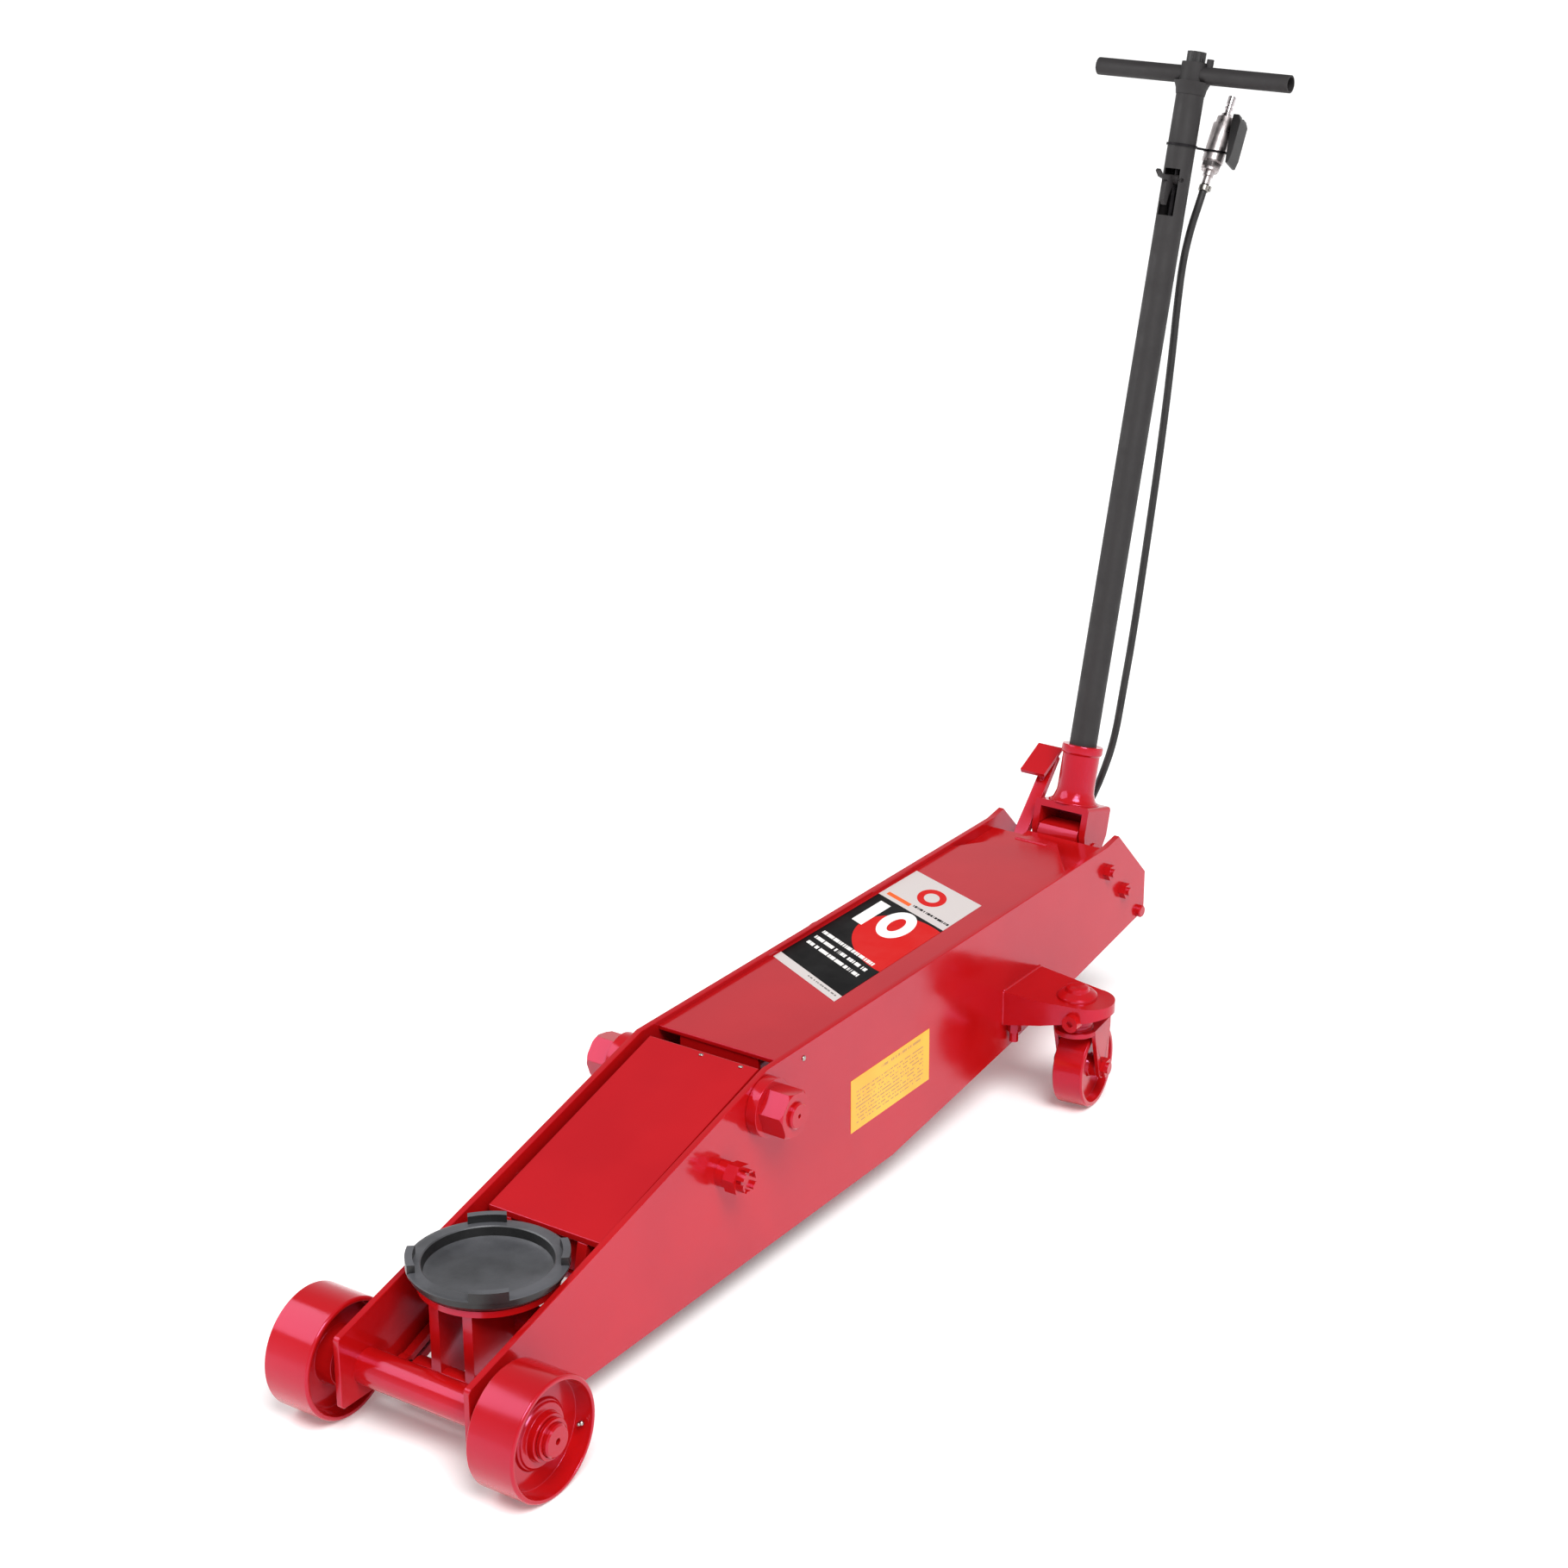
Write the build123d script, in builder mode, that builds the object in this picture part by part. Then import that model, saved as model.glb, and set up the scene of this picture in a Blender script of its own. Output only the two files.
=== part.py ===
from build123d import *
import os
from math import cos, sin, tan, pi, radians, sqrt

# Long-chassis air and hydraulic service jack, built as separate pieces.
# Frame: millimetres, +X towards the saddle end, +Y to the left, +Z up, the origin on the ground
# under the middle of the whole jack.  Stations along the chassis are given as distances behind
# the front axle and turned into X by at().

# ---- driving dimensions ---------------------------------------------------------------------
FRONT_AXLE_X = 870.8        # front axle, measured from the middle of the jack
FIT = 0.06                  # radial clearance of a running fit
SEAT = 0.05                 # radial clearance of a pin that stays put

PLATE_OUT = 100.5           # outer face of a side plate
PLATE_T = 8.5
PLATE_IN = PLATE_OUT - PLATE_T

WHEEL_R = 75.0
WHEEL_IN = 117.0            # inner face of a front wheel
WHEEL_W = 66.0
AXLE_R = 22.5
SPINDLE_R = 20.0

PIVOT_BACK, PIVOT_Z = 523.0, 243.0          # lift arm pivot
LINK_BACK, LINK_Z = 436.0, 188.0            # rear bolt of the radius rods
ARM_PIN_BACK, ARM_PIN_Z = 140.0, 105.0      # front pin of the lift arm
PIVOT_R = 19.0
LINK_R = 12.0
ARM_PIN_R = 14.0
ARM_IN, ARM_OUT = 50.0, 64.0                # faces of one arm plate
ROD_IN, ROD_OUT = 76.0, 88.0                # faces of one radius rod
CRANK_L = 125.0                             # pivot to crank pin
CRANK_ANGLE = 28.5                          # crank pin behind the plumb line at rest
CRANK_PIN_R = 12.0

SADDLE_BACK = 114.0
SADDLE_R = 95.5
SADDLE_LIP_Z = 190.0
SADDLE_FLOOR_Z = 174.5
SADDLE_TURN = 40.0
POST_R = 17.0

COVER_Z = 281.0
COVER_T = 6.0
DECK_Z = 272.0
DECK_T = 8.0

CYLINDER_Z = 126.0
CYLINDER_R = 48.0
CYLINDER_BORE = 36.0
RAM_R = 25.0

CASTER_BACK, CASTER_Y = 1142.0, 192.0       # swivel axis
CASTER_TURN = 7.0
CASTER_TRAIL = 28.0
CASTER_R = 58.0
CASTER_W = 44.0
FORK_IN, FORK_OUT = 25.0, 31.0
KINGPIN_R = 10.0
CASTER_AXLE_R = 8.0

YOKE_BACK, YOKE_Z = 1443.0, 245.0           # handle pivot
HANDLE_LEAN = 15.6
YOKE_PIN_R = 10.0
TUBE_R = 20.0
TUBE_BORE = 17.0
GRIP_W = 1116.0                             # height of the T bar above the handle pivot
GRIP_R = 12.5
GRIP_HALF = 151.0
ROD_R = 5.0

PEDAL_BACK, PEDAL_Z = 1400.0, 238.0
PLUNGER_R = 9.0

VALVE_BACK, VALVE_Y, VALVE_Z = 1739.0, 28.0, 1169.0     # lower end of the air valve
VALVE_LEAN = 33.0
VALVE_R = 15.0
HOSE_R = 5.5

SIDES = (("left", 1), ("right", -1))


# ---- helpers --------------------------------------------------------------------------------
def at(back):
    """X of a station that lies this far behind the front axle."""
    return FRONT_AXLE_X - back


def upright(y):
    """Plane standing along the chassis: local x is X, local y is Z, and it faces -Y."""
    return Plane(origin=(0, y, 0), x_dir=(1, 0, 0), z_dir=(0, -1, 0))


def slab(side, inner, outer):
    """Upright plane and depth of a plate between two distances from the centre line."""
    if side > 0:
        return upright(outer), outer - inner
    return upright(-inner), outer - inner


def cross(back, y):
    """Plane across the chassis at a station, facing +X: local x is Y and local y is Z."""
    return Plane(origin=(at(back), y, 0), x_dir=(0, 1, 0), z_dir=(1, 0, 0))


def spun(back, z):
    """Plane for profiles turned about a crosswise axis: local x is the radius, local y is Y."""
    return Plane(origin=(at(back), 0, z), x_dir=(1, 0, 0), z_dir=(0, 0, 1))


LEAN_SIN = sin(radians(HANDLE_LEAN))
LEAN_COS = cos(radians(HANDLE_LEAN))
HANDLE = Plane(origin=(at(YOKE_BACK), 0, YOKE_Z), x_dir=(LEAN_COS, 0, LEAN_SIN),
               z_dir=(-LEAN_SIN, 0, LEAN_COS))


def handle_side(y):
    """Upright plane along the leaning handle: local y runs up the handle, facing -Y."""
    return Plane(origin=(at(YOKE_BACK), y, YOKE_Z), x_dir=(LEAN_COS, 0, LEAN_SIN), z_dir=(0, -1, 0))


VALVE_DIR = (-sin(radians(VALVE_LEAN)), 0, cos(radians(VALVE_LEAN)))
VALVE = Plane(origin=(at(VALVE_BACK), VALVE_Y, VALVE_Z), x_dir=(0, 1, 0), z_dir=VALVE_DIR)


def caster_plane(side, z=0.0):
    """Level plane at the swivel axis, local x pointing the way the caster rolls."""
    turn = radians(CASTER_TURN * side)
    return Plane(origin=(at(CASTER_BACK), CASTER_Y * side, z), x_dir=(cos(turn), sin(turn), 0),
                 z_dir=(0, 0, 1))


def caster_side(side, offset):
    """Upright plane of a caster, this far to the left of its middle, facing right."""
    turn = radians(CASTER_TURN * side)
    base = (at(CASTER_BACK) - sin(turn) * offset, CASTER_Y * side + cos(turn) * offset, 0)
    return Plane(origin=base, x_dir=(cos(turn), sin(turn), 0), z_dir=(sin(turn), -cos(turn), 0))


os.makedirs("parts", exist_ok=True)


def save(builder, name):
    builder.part.label = name
    export_step(builder.part, f"parts/{name}.step")


# ---- side plates ----------------------------------------------------------------------------
PLATE_OUTLINE = [
    (at(-45), 38), (at(-45), 131), (at(533), 287), (at(1388), 287), (at(1418), 292),
    (at(1500), 210), (at(1500), 146), (at(1123), 82), (at(820), 42),
]
REAR_BOLTS = [(at(1384), 249), (at(1433), 203)]
TIE_PIN = (at(1484), 152)
TIE_PIN_R = 9.0
BOLT_R = 6.0

for side_name, s in SIDES:
    plane, depth = slab(s, PLATE_IN, PLATE_OUT)
    with BuildPart() as side_plate:
        with BuildSketch(plane):
            with BuildLine():
                Polyline(PLATE_OUTLINE, close=True)
            make_face()
            fillet(vertices().sort_by(Axis.X)[-2:], radius=6)
            with Locations((at(0), WHEEL_R)):
                Circle(SPINDLE_R + SEAT, mode=Mode.SUBTRACT)
            with Locations((at(PIVOT_BACK), PIVOT_Z)):
                Circle(PIVOT_R + SEAT, mode=Mode.SUBTRACT)
            with Locations((at(LINK_BACK), LINK_Z)):
                Circle(LINK_R + SEAT, mode=Mode.SUBTRACT)
            with Locations(*REAR_BOLTS):
                Circle(BOLT_R + SEAT, mode=Mode.SUBTRACT)
            with Locations(TIE_PIN):
                Circle(TIE_PIN_R + SEAT, mode=Mode.SUBTRACT)
        extrude(amount=depth)
        chamfer(edges().filter_by(GeomType.LINE).filter_by(Axis.Y, reverse=True)
                .filter_by(lambda e: e.length > 80), length=0.8)
    save(side_plate, f"side_plate_{side_name}")

# ---- top cover and rear deck ----------------------------------------------------------------
COVER_FRONT = 569.0
COVER_REAR = 1373.0
with BuildPart() as top_cover:
    with BuildSketch(Plane.XY.offset(COVER_Z - COVER_T)):
        with BuildLine():
            Polyline([(at(COVER_FRONT), PLATE_IN), (at(1278), PLATE_IN), (at(COVER_REAR - 8), 29),
                      (at(COVER_REAR), 22), (at(COVER_REAR), -22), (at(COVER_REAR - 8), -29),
                      (at(1278), -PLATE_IN), (at(COVER_FRONT), -PLATE_IN)], close=True)
        make_face()
    extrude(amount=COVER_T)
    with BuildSketch(Plane.XY.offset(COVER_Z)):
        with Locations((at(COVER_REAR - 19), -8)):
            Rectangle(5, 52)
    extrude(amount=2)
    with BuildSketch(Plane.XY.offset(COVER_Z - 34)):
        with Locations((at(COVER_FRONT + 5), 0)):
            Rectangle(6, 120)
    extrude(amount=30)
save(top_cover, "top_cover")

DECK_FRONT, DECK_REAR = 1270.0, 1390.0
DECK_LIP = 1407.0           # end of the part that reaches back to the handle, clear of the pedal
with BuildPart() as rear_deck:
    with BuildSketch(cross(DECK_REAR, 0)):
        with Locations((0, DECK_Z - DECK_T / 2)):
            Rectangle(2 * PLATE_IN, DECK_T)
        for edge in (-1, 1):
            with Locations((edge * (PLATE_IN - 4), DECK_Z - 16)):
                Rectangle(8, 32)
    extrude(amount=DECK_REAR - DECK_FRONT)
    with BuildSketch(Plane.XY.offset(DECK_Z - DECK_T)):
        with Locations((at((DECK_REAR + DECK_LIP) / 2), 20)):
            Rectangle(DECK_LIP - DECK_REAR, 128)
    extrude(amount=DECK_T)
    with BuildSketch(upright(PLATE_IN)):
        with Locations(REAR_BOLTS[0]):
            Circle(BOLT_R + SEAT)
    extrude(amount=2 * PLATE_IN, mode=Mode.SUBTRACT)
save(rear_deck, "rear_deck")

# ---- front axle, its collars and retainers --------------------------------------------------
AXLE_END = 188.0
with BuildPart() as front_axle:
    with BuildSketch(upright(AXLE_END)):
        with Locations((at(0), WHEEL_R)):
            Circle(SPINDLE_R)
    extrude(amount=2 * AXLE_END)
    with BuildSketch(upright(PLATE_IN)):
        with Locations((at(0), WHEEL_R)):
            Circle(AXLE_R)
    extrude(amount=2 * PLATE_IN)
    chamfer(edges().filter_by(GeomType.CIRCLE).group_by(Axis.Y)[0], length=2)
    chamfer(edges().filter_by(GeomType.CIRCLE).group_by(Axis.Y)[-1], length=2)
    for s in (1, -1):
        with BuildSketch(upright(s * AXLE_END)):
            with Locations((at(0), WHEEL_R)):
                Circle(4)
        extrude(amount=8 * s, mode=Mode.SUBTRACT)
save(front_axle, "front_axle")

HUB_FACE = 176.0
with BuildPart() as axle_retainers:
    for s in (1, -1):
        for near, far, radius in ((PLATE_OUT, WHEEL_IN - 0.5, 29), (HUB_FACE + 0.5, 182, 25)):
            plane, depth = slab(s, near, far)
            with BuildSketch(plane):
                with Locations((at(0), WHEEL_R)):
                    Circle(radius)
                    Circle(SPINDLE_R + SEAT, mode=Mode.SUBTRACT)
            extrude(amount=depth)
save(axle_retainers, "axle_retainers")


# ---- front wheels ---------------------------------------------------------------------------
def wheel_profile(half, rim_r, rim_t, web_half, hub_steps, bore):
    """Closed half section of a recessed wheel; hub_steps are (radius, face) from the web inwards."""
    outer = [(rim_r - 2, half), (rim_r - rim_t, half), (rim_r - rim_t - 2, web_half)]
    level = web_half
    for radius, face in hub_steps:
        outer += [(radius, level), (radius - 1.5, face)]
        level = face
    outer.append((bore, level))
    inner = [(bore, -half), (34 * rim_r / WHEEL_R, -half), (36 * rim_r / WHEEL_R, -web_half),
             (rim_r - rim_t - 2, -web_half), (rim_r - rim_t, -half), (rim_r - 2, -half)]
    return [(rim_r, half - 2)] + outer + inner + [(rim_r, -half + 2)]


for side_name, s in SIDES:
    middle = WHEEL_IN + WHEEL_W / 2
    hub = [(43, 14), (39.5, 17), (30, HUB_FACE - middle)]
    with BuildPart() as front_wheel:
        with BuildSketch(spun(0, WHEEL_R)):
            with BuildLine():
                section = wheel_profile(WHEEL_W / 2, WHEEL_R, 6, 10, hub, SPINDLE_R + FIT)
                Polyline([(r, s * (middle + y)) for r, y in section], close=True)
            make_face()
        revolve(axis=Axis((at(0), 0, WHEEL_R), (0, 1, 0)))
    save(front_wheel, f"front_wheel_{side_name}")

# ---- lift arm pivot: shaft, washers and nuts ------------------------------------------------
WASHER_OUT = 116.0
NUT_OUT = 150.0
SHAFT_END = 155.0
with BuildPart() as pivot_shaft:
    with BuildSketch(upright(WASHER_OUT)):
        with Locations((at(PIVOT_BACK), PIVOT_Z)):
            Circle(PIVOT_R)
    extrude(amount=2 * WASHER_OUT)
    with BuildSketch(upright(SHAFT_END)):
        with Locations((at(PIVOT_BACK), PIVOT_Z)):
            Circle(17)
    extrude(amount=2 * SHAFT_END)
    chamfer(edges().filter_by(GeomType.CIRCLE).group_by(Axis.Y)[0], length=2)
    chamfer(edges().filter_by(GeomType.CIRCLE).group_by(Axis.Y)[-1], length=2)
    for s in (1, -1):
        with BuildSketch(upright(s * SHAFT_END)):
            with Locations((at(PIVOT_BACK), PIVOT_Z)):
                Circle(3)
        extrude(amount=4 * s, mode=Mode.SUBTRACT)
save(pivot_shaft, "pivot_shaft")

with BuildPart() as pivot_washers:
    for s in (1, -1):
        plane, depth = slab(s, PLATE_OUT, WASHER_OUT)
        with BuildSketch(plane):
            with Locations((at(PIVOT_BACK), PIVOT_Z)):
                Circle(38)
                Circle(PIVOT_R + SEAT, mode=Mode.SUBTRACT)
        extrude(amount=depth)
save(pivot_washers, "pivot_washers")


def nut_pair(back, z, near, far, across, bore, turn):
    """Two hexagon nuts on one crosswise shaft, their outer corners rounded off by a cone."""
    with BuildPart() as pair:
        for s in (1, -1):
            plane, depth = slab(s, near, far)
            with BuildSketch(plane):
                with Locations((at(back), z)):
                    RegularPolygon(across / 2, 6, major_radius=False, rotation=turn)
                    Circle(bore, mode=Mode.SUBTRACT)
            extrude(amount=depth)
        with BuildSketch(spun(back, z)):
            with BuildLine():
                Polyline([(0, -far), (across / 2 + 1, -far), (across / 2 + far, 0),
                          (across / 2 + 1, far), (0, far)], close=True)
            make_face()
        revolve(axis=Axis((at(back), 0, z), (0, 1, 0)), mode=Mode.INTERSECT)
    return pair


save(nut_pair(PIVOT_BACK, PIVOT_Z, WASHER_OUT, NUT_OUT, 56, 17 + SEAT, 10), "pivot_nuts")

# ---- radius rod bolts and castle nuts -------------------------------------------------------
with BuildPart() as link_bolts:
    for s in (1, -1):
        for near, far, radius in ((70, 75.5, 19), (75, 137, LINK_R)):
            plane, depth = slab(s, near, far)
            with BuildSketch(plane):
                with Locations((at(LINK_BACK), LINK_Z)):
                    Circle(radius)
            extrude(amount=depth)
save(link_bolts, "link_bolts")

with BuildPart() as link_nuts:
    for s in (1, -1):
        plane, depth = slab(s, PLATE_OUT, 114)
        with BuildSketch(plane):
            with Locations((at(LINK_BACK), LINK_Z)):
                Circle(17)
                Circle(LINK_R + SEAT, mode=Mode.SUBTRACT)
        extrude(amount=depth)
        plane, depth = slab(s, 114, 131)
        with BuildSketch(plane):
            with Locations((at(LINK_BACK), LINK_Z)):
                RegularPolygon(17.5, 6, major_radius=False, rotation=12)
                Circle(LINK_R + SEAT, mode=Mode.SUBTRACT)
        extrude(amount=depth)
        plane, depth = slab(s, 131, 142)
        with BuildSketch(plane):
            with Locations((at(LINK_BACK), LINK_Z)):
                Circle(15)
                Circle(LINK_R + SEAT, mode=Mode.SUBTRACT)
                for k in range(3):
                    Rectangle(50, 5, rotation=60 * k + 12, mode=Mode.SUBTRACT)
        extrude(amount=depth)
save(link_nuts, "link_nuts")

# ---- tie bars under the frame ---------------------------------------------------------------
with BuildPart() as tie_bars:
    for back, z in ((330, 56), (762, 58)):
        with BuildSketch(upright(PLATE_IN)):
            with Locations((at(back), z)):
                Circle(12)
        extrude(amount=2 * PLATE_IN)
save(tie_bars, "tie_bars")

# ---- hydraulic cylinder, oil reservoir ------------------------------------------------------
CYLINDER_FRONT, CYLINDER_REAR = 690.0, 1085.0
with BuildPart() as hydraulic_cylinder:
    with BuildSketch(cross(CYLINDER_REAR, 0)):
        with Locations((0, CYLINDER_Z)):
            Circle(CYLINDER_R)
    extrude(amount=CYLINDER_REAR - CYLINDER_FRONT)
    with BuildSketch(cross(CYLINDER_FRONT + 34, 0)):
        with Locations((0, CYLINDER_Z)):
            Circle(CYLINDER_R + 4)
    extrude(amount=34)
    with BuildSketch(cross(CYLINDER_REAR - 25, 0)):
        with Locations((0, CYLINDER_Z)):
            Circle(CYLINDER_BORE)
    extrude(amount=CYLINDER_REAR - CYLINDER_FRONT - 50, mode=Mode.SUBTRACT)
    with BuildSketch(cross(CYLINDER_FRONT + 30, 0)):
        with Locations((0, CYLINDER_Z)):
            Circle(RAM_R + FIT)
    extrude(amount=40, mode=Mode.SUBTRACT)
    chamfer(edges().filter_by(GeomType.CIRCLE).group_by(Axis.X)[-1].sort_by(SortBy.RADIUS)[-1], length=3)
save(hydraulic_cylinder, "hydraulic_cylinder")

RESERVOIR_REAR = 1335.0
with BuildPart() as oil_reservoir:
    with BuildSketch(cross(RESERVOIR_REAR, 0)):
        with Locations((0, 175)):
            RectangleRounded(2 * 88, 126, 8)
    extrude(amount=RESERVOIR_REAR - CYLINDER_REAR)
    with BuildSketch(cross(RESERVOIR_REAR - 6, 0)):
        with Locations((0, 175)):
            Rectangle(2 * 82, 114)
    extrude(amount=RESERVOIR_REAR - CYLINDER_REAR - 12, mode=Mode.SUBTRACT)
    with BuildSketch(Plane.XY.offset(238)):
        with Locations((at(1180), 30)):
            Circle(13)
    extrude(amount=14)
save(oil_reservoir, "oil_reservoir")

# ---- pump block with the lug that carries the handle ----------------------------------------
PUMP_TOP = 212.0
HUMP_TOP = 283.0             # block inside the handle yoke, standing above the deck
PLUNGER_BACK = YOKE_BACK + 27.5
with BuildPart() as pump_block:
    with BuildSketch(upright(34)):
        with BuildLine():
            Polyline([(at(RESERVOIR_REAR), 140), (at(RESERVOIR_REAR), PUMP_TOP), (at(1492), PUMP_TOP),
                      (at(1492), 165), (at(1462), 165), (at(1462), 140)], close=True)
        make_face()
    extrude(amount=68)
    with BuildSketch(upright(PLATE_IN)):
        with Locations((REAR_BOLTS[1][0], 203)):
            Rectangle(44, 18)
    extrude(amount=2 * PLATE_IN)
    with BuildSketch(upright(32)):
        with Locations((at(YOKE_BACK), YOKE_Z)):
            Circle(18)
        with BuildLine():
            Polyline([(at(DECK_LIP + 3), PUMP_TOP - 1), (at(DECK_LIP + 3), DECK_Z - 2),
                      (at(DECK_LIP + 12), HUMP_TOP), (at(YOKE_BACK + 8), HUMP_TOP),
                      (at(YOKE_BACK + 15), YOKE_Z), (at(YOKE_BACK + 15), PUMP_TOP - 1)], close=True)
        make_face()
    extrude(amount=64)
    with BuildSketch(upright(40)):
        with Locations((at(YOKE_BACK), YOKE_Z)):
            Circle(YOKE_PIN_R + SEAT)
    extrude(amount=80, mode=Mode.SUBTRACT)
    with BuildSketch(upright(PLATE_IN)):
        with Locations(REAR_BOLTS[1]):
            Circle(BOLT_R + SEAT)
    extrude(amount=2 * PLATE_IN, mode=Mode.SUBTRACT)
    with BuildSketch(Plane.XY.offset(PUMP_TOP + 1)):
        with Locations((at(PLUNGER_BACK), 0)):
            Circle(PLUNGER_R + FIT)
    extrude(amount=-60, mode=Mode.SUBTRACT)
save(pump_block, "pump_block")

# ---- air motor and the hose fitting at its rear end -----------------------------------------
MOTOR_Y, MOTOR_Z, MOTOR_R = -62.0, 170.0, 22.0
MOTOR_REAR = 1453.0
HOSE_END_BACK = 1477.0
with BuildPart() as air_motor:
    with BuildSketch(cross(MOTOR_REAR, MOTOR_Y)):
        with Locations((0, MOTOR_Z)):
            Circle(MOTOR_R)
    extrude(amount=MOTOR_REAR - RESERVOIR_REAR - 2)
    with BuildSketch(upright(-34)):
        with Locations((at(1385), MOTOR_Z)):
            Rectangle(40, 26)
    extrude(amount=20)
    for k in range(7):
        with BuildSketch(cross(MOTOR_REAR - 12 - 7 * k, MOTOR_Y)):
            with Locations((0, MOTOR_Z)):
                Circle(MOTOR_R + 1)
                Circle(MOTOR_R - 2, mode=Mode.SUBTRACT)
        extrude(amount=3, mode=Mode.SUBTRACT)
save(air_motor, "air_motor")

with BuildPart() as hose_fitting:
    with BuildSketch(cross(HOSE_END_BACK - 8, MOTOR_Y)):
        with Locations((0, MOTOR_Z)):
            RegularPolygon(8, 6, major_radius=True)
    extrude(amount=HOSE_END_BACK - 8 - MOTOR_REAR)
    with BuildSketch(cross(HOSE_END_BACK, MOTOR_Y)):
        with Locations((0, MOTOR_Z)):
            Circle(6.5)
    extrude(amount=8)
save(hose_fitting, "hose_fitting")

# ---- bolts and pins through the rear of the frame -------------------------------------------
with BuildPart() as rear_bolts:
    for s in (1, -1):
        for spot in REAR_BOLTS:
            plane, depth = slab(s, PLATE_IN - 14, PLATE_OUT + 13)
            with BuildSketch(plane):
                with Locations(spot):
                    Circle(BOLT_R)
            extrude(amount=depth)
            plane, depth = slab(s, PLATE_OUT, PLATE_OUT + 9)
            with BuildSketch(plane):
                with Locations(spot):
                    RegularPolygon(10, 6, major_radius=False)
            extrude(amount=depth)
save(rear_bolts, "rear_bolts")

with BuildPart() as rear_tie_pin:
    with BuildSketch(upright(PLATE_OUT + 7)):
        with Locations(TIE_PIN):
            Circle(TIE_PIN_R)
    extrude(amount=2 * (PLATE_OUT + 7))
    chamfer(edges().filter_by(GeomType.CIRCLE), length=1.5)
save(rear_tie_pin, "rear_tie_pin")

# ---- caster brackets, their bolts, and the kingpins -----------------------------------------
BOSS_TOP = 172.0
ROOT_LOW, TIP_LOW = 121.0, 157.0
BOSS_R, BOSS_Y = 36.0, 210.0
COLLAR_LOW = 135.0
BRACKET_BOLTS = (1115.0, 1183.0)
BRACKET_BOLT_Y = PLATE_OUT + 9
with BuildPart() as caster_brackets:
    for s in (1, -1):
        with BuildSketch(cross(1205, 0)):
            with BuildLine():
                Polyline([(s * PLATE_OUT, ROOT_LOW), (s * PLATE_OUT, BOSS_TOP),
                          (s * (BOSS_Y + BOSS_R), BOSS_TOP), (s * (BOSS_Y + BOSS_R), TIP_LOW)], close=True)
            make_face()
        extrude(amount=115)
    with BuildSketch(Plane.XY.offset(ROOT_LOW)):
        for s in (1, -1):
            with BuildLine():
                Polyline([(at(1097), s * PLATE_OUT), (at(1097), s * 160), (at(1106), s * BOSS_Y),
                          (at(1178), s * BOSS_Y), (at(1199), s * PLATE_OUT)], close=True)
            make_face()
            with Locations((at(CASTER_BACK), s * BOSS_Y)):
                Circle(BOSS_R)
    extrude(amount=BOSS_TOP - ROOT_LOW, mode=Mode.INTERSECT)
    for s in (1, -1):
        with BuildSketch(Plane.XY.offset(COLLAR_LOW)):
            with Locations((at(CASTER_BACK), s * CASTER_Y)):
                Circle(24)
        extrude(amount=BOSS_TOP - COLLAR_LOW - 2)
        with BuildSketch(Plane.XY.offset(ROOT_LOW)):
            with Locations(*[(at(back), s * BRACKET_BOLT_Y) for back in BRACKET_BOLTS]):
                Circle(8.9)
        extrude(amount=8)
        with BuildSketch(cross(1112, s * (CASTER_Y + 14))):
            with Locations((0, 150)):
                Circle(12)
        extrude(amount=15)
        with BuildSketch(cross(1101, s * (CASTER_Y + 14))):
            with Locations((0, 150)):
                Circle(4.5)
        extrude(amount=8, mode=Mode.SUBTRACT)
        with BuildSketch(Plane.XY.offset(COLLAR_LOW - 20)):
            with Locations((at(CASTER_BACK), s * CASTER_Y)):
                Circle(KINGPIN_R + SEAT)
        extrude(amount=60, mode=Mode.SUBTRACT)
save(caster_brackets, "caster_brackets")

with BuildPart() as bracket_bolts:
    for s in (1, -1):
        for back in BRACKET_BOLTS:
            with BuildSketch(Plane.XY.offset(ROOT_LOW)):
                with Locations((at(back), s * BRACKET_BOLT_Y)):
                    RegularPolygon(8.5, 6, major_radius=False)
            extrude(amount=-13)
            with BuildSketch(Plane.XY.offset(ROOT_LOW - 13)):
                with Locations((at(back), s * BRACKET_BOLT_Y)):
                    Circle(6.5)
            extrude(amount=-15)
save(bracket_bolts, "bracket_bolts")

CROWN_LOW, CROWN_TOP = 120.5, 127.5
with BuildPart() as kingpins:
    for s in (1, -1):
        with BuildSketch(Plane(origin=(at(CASTER_BACK), s * CASTER_Y, 0), x_dir=(1, 0, 0), z_dir=(0, -1, 0))):
            with BuildLine():
                Polyline([(0, CROWN_LOW - 5), (11, CROWN_LOW - 5), (11, CROWN_LOW - 1),
                          (KINGPIN_R, CROWN_LOW - 1), (KINGPIN_R, BOSS_TOP), (28, BOSS_TOP),
                          (27.5, BOSS_TOP + 3), (24, BOSS_TOP + 6), (17, BOSS_TOP + 9),
                          (15, BOSS_TOP + 14), (11, BOSS_TOP + 16), (0, BOSS_TOP + 16.5)], close=True)
            make_face()
        revolve(axis=Axis((at(CASTER_BACK), s * CASTER_Y, 0), (0, 0, 1)))
save(kingpins, "kingpins")

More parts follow.
